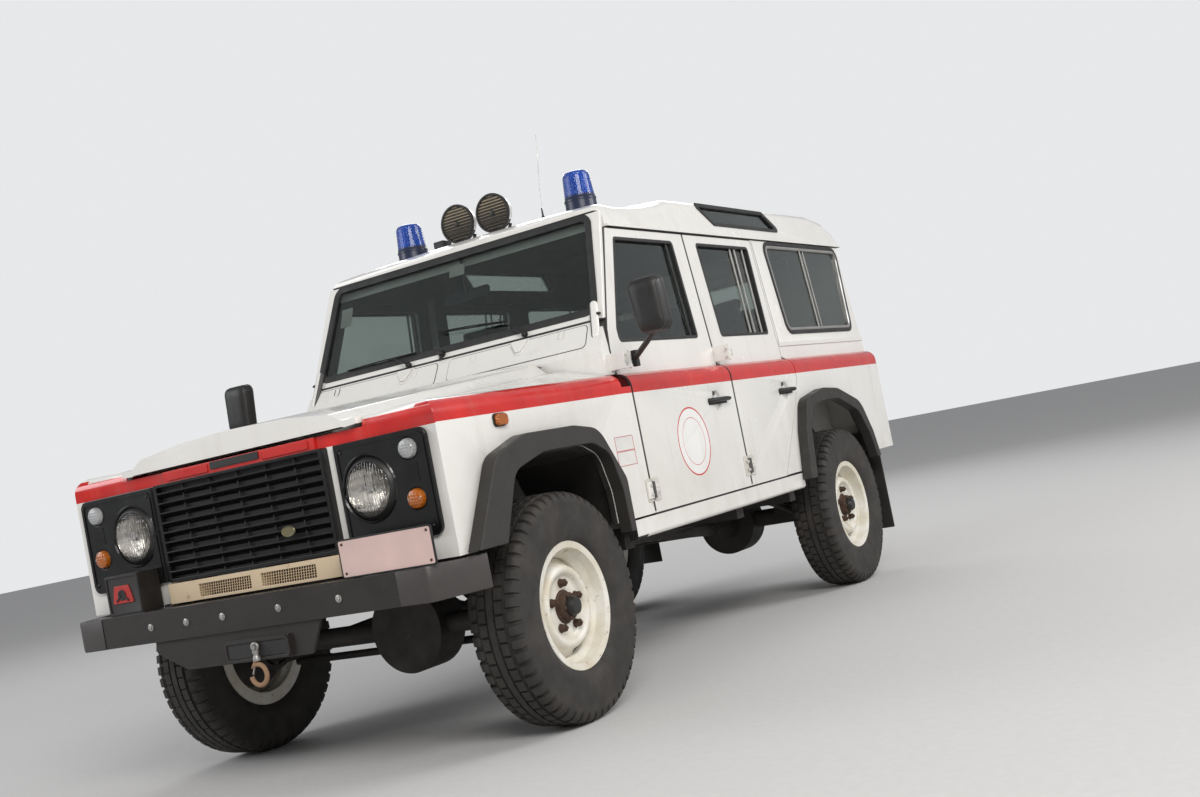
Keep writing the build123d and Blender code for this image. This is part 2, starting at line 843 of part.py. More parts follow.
with BuildPart() as roof:
    add(roof_solid(0, 0))
    for end in (-1, 1):
        block(
            (end * (gutter_x - panel), back(header_front), gutter_z),
            (end * (gutter_x + gutter_width), back(roof_end), gutter_z + gutter_height),
        )
    add(roof_solid(roof_shell, 2 * roof_shell), mode=Mode.SUBTRACT)
    with BuildSketch(side(-far / 2)):
        outline(side_view([
            (0, gutter_z - panel),
            (header_front, gutter_z - panel),
            (header_front, gutter_z),
            (header_front + header_lean, brow_z - 3),
            (brow_front, brow_z),
            (0, brow_z),
        ]))
    extrude(amount=far, mode=Mode.SUBTRACT)
    for end in (-1, 1):
        with BuildSketch(side(end * half_width)):
            outline(side_view(corner_window), 12)
        extrude(amount=-end * 260, mode=Mode.SUBTRACT)

# Rear body: tub with wheel boxes and the upper side panels
tub_front = rear_door_back + body_gap
tub_foot = wheelbase - 804
tub_bottom_z = door_bottom_z + 2
capping_z = shoulder_z + 66
capping_lip = 6
load_floor_z = 790
load_floor_panel = 40
wheel_box_x = 500
wheel_box_top = 1040
tub_skin = 22
# columns: back from the rear axle, height
rear_arch = (
    (-545, sill_bottom_z), (-500, 823, 60), (-400, 940, 60), (-220, 990, 150),
    (-60, 990, 200), (230, 900, 200), (340, 748, 120), (385, sill_bottom_z),
)
door_aperture_half = half_width - 388
tail_door_half = door_aperture_half - body_gap
rear_post = 40
tail_pin_y = tail_y + hinge_stand_off
tail_pin_x = -tail_door_half - 2
tail_hinges = (load_floor_z + 140, load_floor_z + 540, load_floor_z + 910)
tail_door_thickness = 45
# columns: back from the front axle, height
rear_door_foot = (
    (wheelbase - 790, door_bottom_z), (wheelbase - 784, door_bottom_z + 17), (wheelbase - 638, 823),
    (wheelbase - 532, 945), (rear_door_back, 1075),
)

with BuildPart() as rear_tub:
    top = capping_z - seat_gap
    tub_inner = half_width - tub_skin
    with BuildSketch(across(back(tub_foot))):
        wall_face(tub_bottom_z, top, tub_skin, tub_skin)
    extrude(amount=tub_foot - tail_back)
    with BuildSketch(side(half_width + body_gap)):
        door_side = [(y + body_gap, z) for y, z in rear_door_foot]
        outline(side_view(door_side + [
            (tub_front, top + 50), (tub_foot - 50, top + 50), (tub_foot - 50, door_bottom_z - 33),
            (door_side[0][0], door_bottom_z - 33),
        ]))
    extrude(amount=-200, mode=Mode.SUBTRACT)
    with BuildSketch(side(half_width + body_gap)):
        outline([(rear_axle_y + row[0], *row[1:]) for row in rear_arch])
    extrude(amount=-200, mode=Mode.SUBTRACT)
    block((wheel_box_x, back(tub_front), load_floor_z), (wheel_box_x + panel, tail_y, wheel_box_top))
    block((wheel_box_x, back(tub_front), wheel_box_top - panel), (tub_inner, tail_y, wheel_box_top))
    member_top = rear_member_high + seat_gap
    floor_low = load_floor_z - load_floor_panel + seat_gap
    door_inside = tail_y - tail_door_thickness
    block((0, back(tub_front), floor_low), (wheel_box_x + panel, door_inside, load_floor_z))
    block((0, door_inside - 10, member_top), (wheel_box_x + panel, tail_y, load_floor_z))
    block((door_aperture_half, tail_y - rear_post, member_top), (tub_inner, tail_y, waist_z))
    block((door_aperture_half, tail_y - rear_post, waist_z), (shoulder_x - tub_skin, tail_y, top))
    mirror(about=Plane.YZ)
    fixed_hinge(
        Location((tail_pin_x, tail_pin_y, tail_hinges[0]), (0, 0, 90)), -1, hinge_stand_off + leaf_overlap
    )

side_window_low = 1328
side_window_high = 1783
side_window_corner = 45
# columns: back from the front axle, height
side_window = (
    (tub_front + 177, side_window_low), (tail_back - 121, side_window_low),
    (tail_back - 38, side_window_high), (tub_front + 153, side_window_high),
)

with BuildPart() as side_panels:
    with BuildSketch(across(back(tub_front))):
        upper_face(capping_z, gutter_z - seat_gap, panel)
    extrude(amount=tub_front - tail_back)
    with BuildSketch(across(back(tub_front))):
        outline([
            (upper_x(capping_z) - panel / 2, capping_z),
            (upper_x(capping_z) + capping_lip, capping_z),
            (upper_x(capping_z) + capping_lip, capping_z + panel),
            (upper_x(capping_z) - panel / 2, capping_z + panel),
        ])
    extrude(amount=tub_front - tail_back)
    with BuildSketch(across(tail_y - rear_post)):
        outline([
            (door_aperture_half, capping_z),
            (upper_x(capping_z) - panel / 2, capping_z),
            (upper_x(gutter_z) - panel / 2, gutter_z - seat_gap),
            (door_aperture_half, gutter_z - seat_gap),
        ])
    extrude(amount=-rear_post)
    with BuildSketch(side(half_width)):
        outline(side_view(side_window), side_window_corner)
    extrude(amount=-300, mode=Mode.SUBTRACT)
    mirror(about=Plane.YZ)
    for z in tail_hinges[1:]:
        fixed_hinge(Location((tail_pin_x, tail_pin_y, z), (0, 0, 90)), -1, hinge_stand_off + leaf_overlap)

# Wings: outer skin with its rounded top, front face and the inner arch
wing_end = bulkhead_back - 8
wing_skin_end = front_door_back - body_gap
wing_bottom_z = door_bottom_z
nose_bottom_z = 669
nose_drop = 20
nose_round = 45
bonnet_gap = 6
bonnet_nose_half = 548
bonnet_nose_z = 1158
bonnet_rear_half = 590
bonnet_rear_z = 1240
slam_top = 1126
slam_bottom = 1086
inner_arch_x = 455
inner_arch_low = 760
inner_arch_high = 1120
liner = 14
# columns: back from the front axle, height
front_arch = (
    (-421, 500), (-421, 672, 40), (-305, 893, 90), (-110, 940, 200), (215, 940, 120), (322, 893, 90),
    (369, 751, 120), (372, 500),
)
# columns: back from the front axle, height
front_liner = (
    (-421, 500), (-421, 667), (-340, 830), (-288, 882), (-100, 935),
    (200, 935), (318, 898), (397, 751), (418, 500),
)
lamp_x = 548
lamp_z = 927
lamp_radius = 89
bezel_radius = 103
face_inner_x = 427
face_outer_x = half_width - 34
strip_inner_x = 356


def wing_section(drop, edge_half, edge_z, inset):
    """Wing's cross-section at one end: side, shoulder and the top that meets the bonnet."""
    with BuildLine() as edge:
        low = wing_bottom_z
        x = half_width - inset
        top = shoulder_z - drop - inset
        Line((x, low), (x, waist_z - drop))
        TangentArc((x, waist_z - drop), (shoulder_x, top), tangent=(0, 1))
        Polyline(
            (shoulder_x, top),
            (edge_half + bonnet_gap, edge_z - inset),
            (edge_half + bonnet_gap, low),
            (x, low),
        )
    return edge


def wing_solid(inset, front, end):
    """Loft between the wing's two end sections, with its nose rounded over."""
    with BuildSketch(across(back(front))) as nose:
        make_face(wing_section(nose_drop, bonnet_nose_half, bonnet_nose_z, inset).edges())
    with BuildSketch(across(back(end))) as rear:
        make_face(wing_section(0, bonnet_rear_half, bonnet_rear_z, inset).edges())
    ends = [end_sketch.sketch.faces()[0].outer_wire() for end_sketch in (nose, rear)]
    skin = Solid.make_loft(ends, ruled=True)
    with BuildSketch(side(0)) as view:
        nose_top = shoulder_z - nose_drop - inset + 2
        outline(side_view([
            (front, wing_bottom_z - 1), (front, nose_top, nose_round), (front + 150, nose_top + 5),
            (end, bonnet_rear_z + 150), (end, wing_bottom_z - 1),
        ]))
    return skin & Solid.extrude(view.sketch.faces()[0], Vector(far, 0, 0))


with BuildPart() as wing_left:
    add(wing_solid(0, nose_back, wing_end))
    add(wing_solid(panel, nose_back + panel, wing_end + 100), mode=Mode.SUBTRACT)
    skin_inner = half_width - panel
    face_end = (bonnet_nose_half + 30, nose_y + panel, slam_top)
    block((skin_inner, back(wing_end - 20), wing_bottom_z), (half_width, back(wing_skin_end), waist_z))
    block((strip_inner_x + seat_gap, nose_y, nose_bottom_z), face_end)
    block((inner_arch_x, nose_y, inner_arch_low), (inner_arch_x + panel, back(wing_end), inner_arch_high))
    with BuildSketch(side(inner_arch_x)):
        outline(side_view(front_liner))
        offset(amount=liner, kind=Kind.INTERSECTION)
    extrude(amount=skin_inner + panel / 2 - inner_arch_x)
    with BuildSketch(side(inner_arch_x - 10)):
        outline(side_view(front_liner))
    extrude(amount=skin_inner - inner_arch_x + 5, mode=Mode.SUBTRACT)
    with BuildSketch(side(skin_inner - 10)):
        outline(side_view(front_arch))
    extrude(amount=panel + 20, mode=Mode.SUBTRACT)
    block((0, nose_y - 10, 0), (half_width + 10, back(-300), nose_bottom_z), Mode.SUBTRACT)
    block((0, nose_y - 10, 0), (half_width + 10, back(wing_skin_end), wing_bottom_z), Mode.SUBTRACT)
    hinge_y = back(front_door_back + pin_setback)
    fixed_hinge((side_pin_x, hinge_y, lower_hinge_z), 1, hinge_stand_off + leaf_overlap)
wing_right = mirrored(wing_left)

# Bonnet: flat flanges and a raised, crowned centre with a turned-down front edge
bonnet_front = -640
bonnet_end = 575
bonnet_skin = 22
bonnet_lip = 12
bonnet_lip_low = slam_top + 12
bonnet_clear = 2
# columns: share of the half width, rise over the edge at the nose, the same at the bulkhead, corner radius
bonnet_rises = (
    (1.0, 0, 0, 0), (0.9, -4, 2, 40), (0.81, 26, 54, 40), (0.45, 48, 68, 300), (0.0, 56, 74, 600)
)
bonnet_lug_half = 14


def bonnet_points(half, edge_z, column, drop):
    """Upper edge of the bonnet's cross-section from side to side, lowered by the skin where asked."""
    right = [(half * row[0], edge_z + row[column] - drop, row[3]) for row in bonnet_rises]
    left = [(-x, z, radius) for x, z, radius in reversed(right[:-1])]
    return right + left


def bonnet_face(y, half, edge_z, column):
    """Bonnet's cross-section at one end."""
    top = bonnet_points(half, edge_z, column, 0)
    low = bonnet_points(half, edge_z, column, bonnet_skin)
    with BuildSketch(across(back(y))) as section:
        outline(top + list(reversed(low)))
    return section.sketch.faces()[0]


with BuildPart() as bonnet:
    nose_face = bonnet_face(bonnet_front, bonnet_nose_half, bonnet_nose_z + bonnet_clear, 1)
    rear_face = bonnet_face(bonnet_end, bonnet_rear_half, bonnet_rear_z + bonnet_clear, 2)
    add(Solid.make_loft([nose_face.outer_wire(), rear_face.outer_wire()], ruled=True))
    with BuildSketch(across(back(bonnet_front))):
        edge_line = bonnet_points(bonnet_nose_half, bonnet_nose_z + bonnet_clear, 1, 0)
        outline(edge_line + [(-bonnet_nose_half, bonnet_lip_low), (bonnet_nose_half, bonnet_lip_low)])
    extrude(amount=-bonnet_lip)
    for end in (-1, 1):
        x = end * bonnet_hinge_x
        pin_line = (x - bonnet_lug_half, back(bonnet_pin), bonnet_pin_z)
        rod(pin_line, (x + bonnet_lug_half, back(bonnet_pin), bonnet_pin_z), barrel_radius)
        block(
            (x - bonnet_lug_half, back(bonnet_end - 30), bonnet_pin_z - 3),
            (x + bonnet_lug_half, back(bonnet_pin), bonnet_pin_z + barrel_radius),
        )
        with Locations(Location((x, back(bonnet_pin), bonnet_pin_z), (0, 90, 0))):
            Cylinder(pin_radius + seat_gap, 3 * bonnet_lug_half, mode=Mode.SUBTRACT)

# Front panel: strips beside the grille, the slam panel above and the vented panel below
grille_half = strip_inner_x - 4
grille_bottom = 742
grille_face = -652
apron_half = 395
apron_front = -660
apron_bottom = nose_bottom_z - 1
apron_top = grille_bottom - 4
panel_face = -632
strip_width = 24
vent_z = 700
vent_height = 44
# columns: middle place across, width
apron_vents = ((-125, 246), (168, 246))

with BuildPart() as front_panel:
    slam_front = back(panel_face)
    block((-strip_inner_x, slam_front, slam_bottom), (strip_inner_x, slam_front + 70, slam_top))
    for end in (-1, 1):
        x = end * (strip_inner_x - strip_width / 2)
        half = strip_width / 2
        block((x - half, nose_y, apron_bottom), (x + half, nose_y + panel, slam_bottom))
    block((-strip_inner_x, nose_y, apron_bottom), (strip_inner_x, nose_y + panel, apron_top))
    block((-apron_half, back(apron_front), apron_bottom), (apron_half, nose_y, apron_top))
    for x, width in apron_vents:
        with Locations((x, nose_y, vent_z)):
            Box(width, 2 * (nose_back - apron_front) + 2 * panel, vent_height, mode=Mode.SUBTRACT)

# Grille: a frame with even slats over a backing plate
slat_count = 9
slat_thickness = 8
grille_rim = 12
grille_side = 18

with BuildPart() as grille:
    low = grille_bottom
    high = slam_bottom - seat_gap
    backing = back(panel_face + 2)
    block((-grille_half, backing, low), (grille_half, nose_y - seat_gap, high))
    for end in (-1, 1):
        x = end * (grille_half - grille_side / 2)
        block((x - grille_side / 2, back(grille_face), low), (x + grille_side / 2, backing, high))
    for z in (low, high - grille_rim):
        block((-grille_half, back(grille_face), z), (grille_half, backing, z + grille_rim))
    for row in range(1, slat_count + 1):
        z = low + (high - low) * row / (slat_count + 1)
        half = slat_thickness / 2
        block((-grille_half, back(grille_face + 2), z - half), (grille_half, backing, z + half))

# Lamp surrounds, head lamps and the small lamps beside them
small_lamp_x = face_outer_x - 76
small_lamps = ((small_lamp_x, lamp_z + 99), (small_lamp_x, lamp_z - 60))
small_lamp_radius = 36
small_lamp_depth = 34
surround_depth = 14
surround_corner = 30
surround_low = lamp_z - 182
surround_high = slam_bottom - 1
bezel_depth = 8
lamp_depth = 22

with BuildPart() as lamp_surrounds:
    with BuildSketch(across(nose_y - seat_gap)):
        outline([
            (face_inner_x, surround_low),
            (face_inner_x, surround_high),
            (face_outer_x, surround_high, surround_corner),
            (face_outer_x, surround_low, surround_corner),
        ])
        with Locations((lamp_x, lamp_z)):
            Circle(bezel_radius, mode=Mode.SUBTRACT)
        with Locations(*small_lamps):
            Circle(small_lamp_radius + seat_gap, mode=Mode.SUBTRACT)
    extrude(amount=surround_depth)
    mirror(about=Plane.YZ)

with BuildPart() as headlamps:
    with BuildSketch(across(nose_y - seat_gap)):
        with Locations((lamp_x, lamp_z)):
            Circle(bezel_radius - seat_gap)
    extrude(amount=bezel_depth)
    with BuildSketch(across(nose_y - bezel_depth)):
        with Locations((lamp_x, lamp_z)):
            Circle(lamp_radius)
    extrude(amount=lamp_depth, taper=25)
    mirror(about=Plane.YZ)

repeater = (-270, 1071)
repeater_radius = 22
repeater_depth = 18
rear_lamp_x = half_width - 138
rear_lamps = (760, 850, 940, 1030)
rear_lamp_depth = 30

with BuildPart() as signal_lamps:
    with BuildSketch(across(nose_y - seat_gap)):
        with Locations(*small_lamps):
            Circle(small_lamp_radius)
    extrude(amount=small_lamp_depth, taper=12)
    repeater_x = half_width + seat_gap
    repeater_end = (repeater_x + repeater_depth, back(repeater[0]), repeater[1])
    rod((repeater_x, back(repeater[0]), repeater[1]), repeater_end, repeater_radius)
    for z in rear_lamps:
        lamp_y = tail_y + seat_gap
        rod((rear_lamp_x, lamp_y, z), (rear_lamp_x, lamp_y + rear_lamp_depth, z), small_lamp_radius)
    mirror(about=Plane.YZ)

# Front bumper: folded channel, swept end caps, the drop plate for the hook and a socket box
bumper_low = 552
bumper_high = 660
bumper_half = half_width - 53
cap_reach = half_width + 34
cap_back = -525
cap_width = 35
channel_wall = 10
drop_plate_front = bumper_y + 12
drop_plate_thickness = 12
drop_plate_low = 444
# columns: across, height, corner radius
drop_plate = (
    (-434, bumper_low, 0), (-434, bumper_low - 39, 10), (-300, drop_plate_low, 20),
    (271, drop_plate_low, 20), (330, bumper_low, 0),
)
fairlead_inner_x = -98
fairlead_outer_x = 191
fairlead_high = bumper_low - 32
socket_box_right_x = -631
socket_box_left_x = -460
socket_box_front = back(-726)
socket_box_end = back(-634)
socket_box_high = bumper_high + 143
hook_x = 46
ring_z = 402

with BuildPart() as front_bumper:
    with BuildSketch(Plane.XY.offset(bumper_low)):
        outline([
            (-bumper_half, bumper_y, 40),
            (bumper_half, bumper_y, 40),
            (cap_reach, back(cap_back)),
            (cap_reach - cap_width, back(cap_back)),
            (bumper_half - 40, bumper_y + bumper_depth),
            (40 - bumper_half, bumper_y + bumper_depth),
            (cap_width - cap_reach, back(cap_back)),
            (-cap_reach, back(cap_back)),
        ])
    extrude(amount=bumper_high - bumper_low)
    pocket_half = bumper_half - 60
    block(
        (-pocket_half, bumper_y + channel_wall, bumper_low + channel_wall),
        (pocket_half, bumper_y + 2 * bumper_depth, bumper_high - channel_wall),
        Mode.SUBTRACT,
    )
    with BuildSketch(across(drop_plate_front + drop_plate_thickness)):
        outline(drop_plate)
    extrude(amount=drop_plate_thickness)
    block(
        (fairlead_inner_x, bumper_y, drop_plate_low + 2),
        (fairlead_outer_x, drop_plate_front, fairlead_high),
    )
    block(
        (socket_box_right_x, socket_box_front, bumper_high),
        (socket_box_left_x, socket_box_end, socket_box_high),
    )

with BuildPart() as tow_hook:
    ring = [(-7, 29), (7, 29), (10, 36), (7, 43), (-7, 43), (-10, 36)]
    add(turned(ring, (hook_x, bumper_y - 12, ring_z), upwards, (0, 1, 0)))
    block((hook_x - 11, bumper_y - 24, ring_z + 32), (hook_x + 11, bumper_y - seat_gap, ring_z + 100))

# Wheel-arch eyebrows, and the mud flaps behind the rear wheels
flare_reach = half_width + 52
mud_flap_back = wheelbase + 496
mud_flap_thickness = 8
mud_flap_inner = 610
mud_flap_low = 205
# columns: back from the axle, height
front_flare_outer = (
    (410, 596), (412, 790, 60), (275, 990, 120), (110, 1012, 200),
    (-215, 1010, 150), (-400, 955, 100), (-578, 672),
)
rear_flare_outer = (
    (409, 606), (360, 748, 100), (250, 915, 160), (-45, 1002, 200), (-240, 1014, 150), (-490, 975, 100),
    (-565, 823, 100), (-620, 591),
)
rear_flare_inner = (
    (-545, 591), (-500, 823, 60), (-415, 940, 60), (-220, 952, 150),
    (-60, 950, 200), (196, 870, 150), (306, 730, 120), (356, 606),
)

with BuildPart() as arch_flares:
    front_inner = [row for row in front_arch if row[1] > 500]
    front_edge = [(-421, 672)] + front_inner[1:] + [(372, 596)]
    rear_outer = [(wheelbase + row[0], *row[1:]) for row in rear_flare_outer]
    rear_edge = [(wheelbase + row[0], *row[1:]) for row in rear_flare_inner]
    for edge in (list(front_edge) + list(front_flare_outer), rear_edge + rear_outer):
        with BuildSketch(side(half_width + seat_gap)):
            outline(side_view(edge))
        extrude(amount=flare_reach - half_width - seat_gap)
    block(
        (mud_flap_inner, back(mud_flap_back), mud_flap_low),
        (half_width + 12, back(mud_flap_back + mud_flap_thickness), tub_bottom_z - seat_gap),
    )
    mirror(about=Plane.YZ)

# Doors: one wall section, trimmed by the side view and cut for the window
b_post_front = b_post_back - body_gap / 2
b_post_rear = b_post_back + body_gap / 2
window_low = 1320
window_high = 1760
window_corner = 18
front_door_outline = (
    (front_door_back, door_bottom_z), (front_door_back, 1290), (front_door_back + 20, 1370),
    (889, door_top_z), (b_post_front, door_top_z), (b_post_front, door_bottom_z),
)
rear_door_outline = (
    (b_post_rear, door_bottom_z), (b_post_rear, door_top_z), (rear_door_back, door_top_z),
    *reversed(rear_door_foot),
)
front_window = (
    (front_door_back + 97, window_low), (b_post_back - 115, window_low), (b_post_back - 121, window_high),
    (948, window_high), (front_door_back + 97, window_low + 52),
)
rear_window = (
    (b_post_back + 132, window_low), (rear_door_back - 80, window_low),
    (rear_door_back - 52, window_high), (b_post_back + 122, window_high),
)
handle_z = waist_z - 103
dish_depth = 12
dish_size = 45


def side_door(points, window, handle_back):
    """Wall section kept inside the door's side view, with its window and the handle's dish cut."""
    first = min(y for y, z in points)
    last = max(y for y, z in points)
    with BuildSketch(across(back(first))) as section:
        wall_face(door_bottom_z, door_top_z, door_skin, upper_skin)
    with BuildSketch(side(0)) as view:
        outline(side_view(points))
    extrude(section.sketch, amount=first - last)
    extrude(view.sketch, amount=2 * half_width, mode=Mode.INTERSECT)
    with BuildSketch(side(0)) as opening:
        outline(side_view(window), window_corner)
    extrude(opening.sketch, amount=2 * half_width, mode=Mode.SUBTRACT)
    with BuildSketch(side(half_width)) as dish:
        with Locations((back(handle_back), handle_z)):
            Circle(dish_size)
    extrude(dish.sketch, amount=-dish_depth, taper=40, mode=Mode.SUBTRACT)


def pane(window, inset, corner=window_corner):
    """Glass that fills a side window, set in from the outer face."""
    first = min(y for y, z in window)
    last = max(y for y, z in window)
    with BuildSketch(across(back(first))) as section:
        upper_face(window[0][1] - 5, window[2][1] + 5, glass_thickness, inset)
    extrude(section.sketch, amount=first - last)
    with BuildSketch(side(0)) as view:
        outline(side_view(window), corner)
        offset(amount=-seat_gap, mode=Mode.REPLACE)
    extrude(view.sketch, amount=2 * half_width, mode=Mode.INTERSECT)


def door_hinges(door_front):
    """Moving halves of the two hinges at the leading edge of a side door."""
    for z, skin_x in ((upper_hinge_z, upper_x(upper_hinge_z)), (lower_hinge_z, half_width)):
        moving_hinge((side_pin_x, back(door_front + pin_setback), z), 1, side_pin_x - skin_x + leaf_overlap)


with BuildPart() as front_door_left:
    side_door(front_door_outline, front_window, b_post_back - 186)
    door_hinges(front_door_back)
with BuildPart() as front_glass_left:
    pane(front_window, 16)
with BuildPart() as rear_door_left:
    side_door(rear_door_outline, rear_window, rear_door_back - 168)
    door_hinges(b_post_rear)
with BuildPart() as rear_glass_left:
    pane(rear_window, 16)
front_door_right = mirrored(front_door_left)
front_glass_right = mirrored(front_glass_left)
rear_door_right = mirrored(rear_door_left)
rear_glass_right = mirrored(rear_glass_left)

# Fixed glass: windscreen, rear side windows and the roof's corner windows
corner_pane_inset = 8

with BuildPart() as side_pane:
    pane(side_window, 8, side_window_corner)
with BuildPart() as corner_pane:
    with BuildSketch(side(half_width)):
        outline(side_view(corner_window), 12)
        offset(amount=-seat_gap, mode=Mode.REPLACE)
    extrude(amount=-260)
    add(roof_solid(corner_pane_inset, 0), mode=Mode.INTERSECT)
    add(roof_solid(corner_pane_inset + glass_thickness, 0), mode=Mode.SUBTRACT)
with BuildPart() as fixed_glass:
    raked_slab(glass_set_in, glass_thickness)
    front_view(glass_outline(seat_gap), glass_corner, Mode.INTERSECT)
    for glazing in (side_pane.part, corner_pane.part):
        add(glazing)
        add(glazing.mirror(Plane.YZ))

# Rear door, hinged on the vehicle's right, with its glass and the spare wheel
tail_window = ((-330, 1330), (330, 1330), (310, 1740), (-310, 1740))
tail_window_corner = 40
spare_x = 40
spare_z = 1190
spare_y = tail_y + 150
spare_boss_radius = 85

with BuildPart() as tail_door:
    with BuildSketch(across(tail_y)):
        outline([
            (-tail_door_half, load_floor_z + body_gap),
            (tail_door_half, load_floor_z + body_gap),
            (tail_door_half, door_top_z),
            (-tail_door_half, door_top_z),
        ])
    extrude(amount=tail_door_thickness)
    with BuildSketch(across(tail_y)):
        outline(tail_window, tail_window_corner)
    extrude(amount=tail_door_thickness, mode=Mode.SUBTRACT)
    spare_seat = spare_y + disc_seat - seat_gap
    rod((spare_x, tail_y - panel, spare_z), (spare_x, spare_seat, spare_z), spare_boss_radius)
    for z in tail_hinges:
        hinge_place = Location((tail_pin_x, tail_pin_y, z), (0, 0, 90))
        moving_hinge(hinge_place, -1, hinge_stand_off + leaf_overlap)

with BuildPart() as tail_glass:
    with BuildSketch(across(tail_y - panel)):
        outline(tail_window, tail_window_corner)
        offset(amount=-seat_gap, mode=Mode.REPLACE)
    extrude(amount=glass_thickness)

with BuildPart() as spare_wheel:
    for section in (rim_section, disc_section):
        add(turned(section, (spare_x, spare_y, spare_z), upwards, (0, 1, 0)))

with BuildPart() as spare_tyre:
    add(turned(tyre_section, (spare_x, spare_y, spare_z), upwards, (0, 1, 0)))

# Mirrors on their arms at the front doors' upper hinges
mirror_back = 520
mirror_depth = 60
mirror_arm_radius = 11
bracket_depth = 32
mirror_low = window_low - 18
mirror_high = mirror_low + 206
mirror_inner_x = half_width + 156
mirror_outer_x = half_width + 292

with BuildPart() as mirror_left:
    bracket_front = front_door_back + pin_setback + barrel_radius + 3
    block(
        (side_pin_x + seat_gap, back(bracket_front), upper_hinge_z - bracket_depth + 1),
        (side_pin_x + 24, back(bracket_front + bracket_depth), upper_hinge_z + bracket_depth),
    )
    arm_end = (half_width + 237, back(mirror_back + mirror_depth / 2 - 5), mirror_low + 16)
    arm_start = (side_pin_x + bracket_depth / 2, back(bracket_front + mirror_arm_radius), upper_hinge_z)
    rod(arm_start, arm_end, mirror_arm_radius)
    with BuildSketch(across(back(mirror_back - mirror_depth / 2))):
        outline([
            (mirror_inner_x + 10, mirror_low + 2),
            (mirror_outer_x + 4, mirror_low - 2),
            (mirror_outer_x - 6, mirror_high + 5),
            (mirror_inner_x - 10, mirror_high - 2),
        ], 28)
    extrude(amount=-mirror_depth)
mirror_right = mirrored(mirror_left)

# On the roof: two beacons, two round lamps and the aerial
beacon_x = 470
beacon_back = 1220
beacon_base_radius = 76
beacon_base_z = roof_crown_z - 32
beacon_lens_z = roof_crown_z + 2
beacon_lens_radius = 67
beacon_lens_height = 104
lamp_row_back = 1250
roof_lamp_z = roof_crown_z + 90
roof_lamp_radius = 90
roof_lamps_x = (-204, 6)
roof_lamp_foot = 20
aerial_base = (227, 1290)
aerial_base_radius = 18
aerial_whip_radius = 2.5
aerial_top = (260, 1310, roof_crown_z + 348)

with BuildPart() as beacons:
    for end in (-1, 1):
        with BuildSketch(Plane.XY.offset(beacon_base_z)):
            with Locations((end * beacon_x, back(beacon_back))):
                Circle(beacon_base_radius)
        extrude(amount=beacon_lens_z - beacon_base_z)
        with BuildSketch(Plane.XY.offset(beacon_lens_z)):
            with Locations((end * beacon_x, back(beacon_back))):
                Circle(beacon_lens_radius)
        extrude(amount=beacon_lens_height, taper=5)
    add(roof.part, mode=Mode.SUBTRACT)

with BuildPart() as roof_lamps:
    for x in roof_lamps_x:
        with BuildSketch(across(back(lamp_row_back - 50))):
            with Locations((x, roof_lamp_z)):
                Circle(roof_lamp_radius)
        extrude(amount=-roof_lamp_radius, taper=14)
        block(
            (x - roof_lamp_foot, back(lamp_row_back - roof_lamp_foot), roof_crown_z - 28),
            (x + roof_lamp_foot, back(lamp_row_back + roof_lamp_foot), roof_lamp_z - 58),
        )
    add(roof.part, mode=Mode.SUBTRACT)

with BuildPart() as aerial:
    with Locations((aerial_base[0], back(aerial_base[1]), roof_crown_z - 6)):
        Cylinder(aerial_base_radius, 40)
    whip_foot = (aerial_base[0], back(aerial_base[1]), roof_crown_z + 2)
    rod(whip_foot, (aerial_top[0], back(aerial_top[1]), aerial_top[2]), aerial_whip_radius)
    add(roof.part, mode=Mode.SUBTRACT)

# Inside: seats, dashboard and steering wheel
front_seat_x = 430
front_seat_half = 235
cushion_height = 130
rear_seat_half = cab_wall_x - 80

with BuildPart() as seats:
    cushion_top = seat_box_top + cushion_height
    for x in (-front_seat_x, front_seat_x):
        block(
            (x - front_seat_half, back(seat_box_front + 10), seat_box_top + seat_gap),
            (x + front_seat_half, back(seat_box_end - 50), cushion_top),
        )
        with BuildSketch(side(x - front_seat_half + 10)):
            outline(side_view([
                (seat_box_end - 120, cushion_top, 30),
                (seat_box_end, cushion_top, 10),
                (seat_box_end + 100, cushion_top + 535, 30),
                (seat_box_end + 30, cushion_top + 555, 30),
            ]))
        extrude(amount=2 * front_seat_half - 20)
    rear_cushion_top = rear_seat_top + cushion_height - 10
    block(
        (-rear_seat_half, back(rear_seat_front), rear_seat_top + seat_gap),
        (rear_seat_half, back(rear_seat_end + 5), rear_cushion_top),
    )
    with BuildSketch(side(-rear_seat_half)):
        outline(side_view([
            (rear_seat_end - 55, rear_cushion_top),
            (rear_seat_end + 5, rear_cushion_top),
            (rear_seat_end + 130, rear_cushion_top + 510, 20),
            (rear_seat_end + 60, rear_cushion_top + 520, 20),
        ]))
    extrude(amount=2 * rear_seat_half)

dash_half = cab_wall_x - 20
dash_front = bulkhead_back + bulkhead_thickness
dash_low = bulkhead_top - 180

with BuildPart() as dashboard:
    with BuildSketch(side(-dash_half)):
        outline(side_view([
            (dash_front, dash_low),
            (dash_front, bulkhead_top - panel - 5),
            (dash_front + 106, scuttle_z - panel - 14),
            (dash_front + 160, scuttle_z - panel - 14, 25),
            (dash_front + 250, bulkhead_top + 40, 30),
            (dash_front + 280, bulkhead_top - 40, 20),
            (dash_front + 240, dash_low, 20),
        ]))
    extrude(amount=2 * dash_half)

wheel_rim_radius = 205
wheel_rim_half = 13
column_tilt = (0, 0.85, 0.53)
column_length = 130
column_radius = 22
boss_radius = 45
boss_height = 40
spoke_width = 30
spoke_thickness = 12
spoke_reach = wheel_rim_radius - 5
rim_flat = 6
steering_centre = (400, back(dash_front + 320), bulkhead_top)
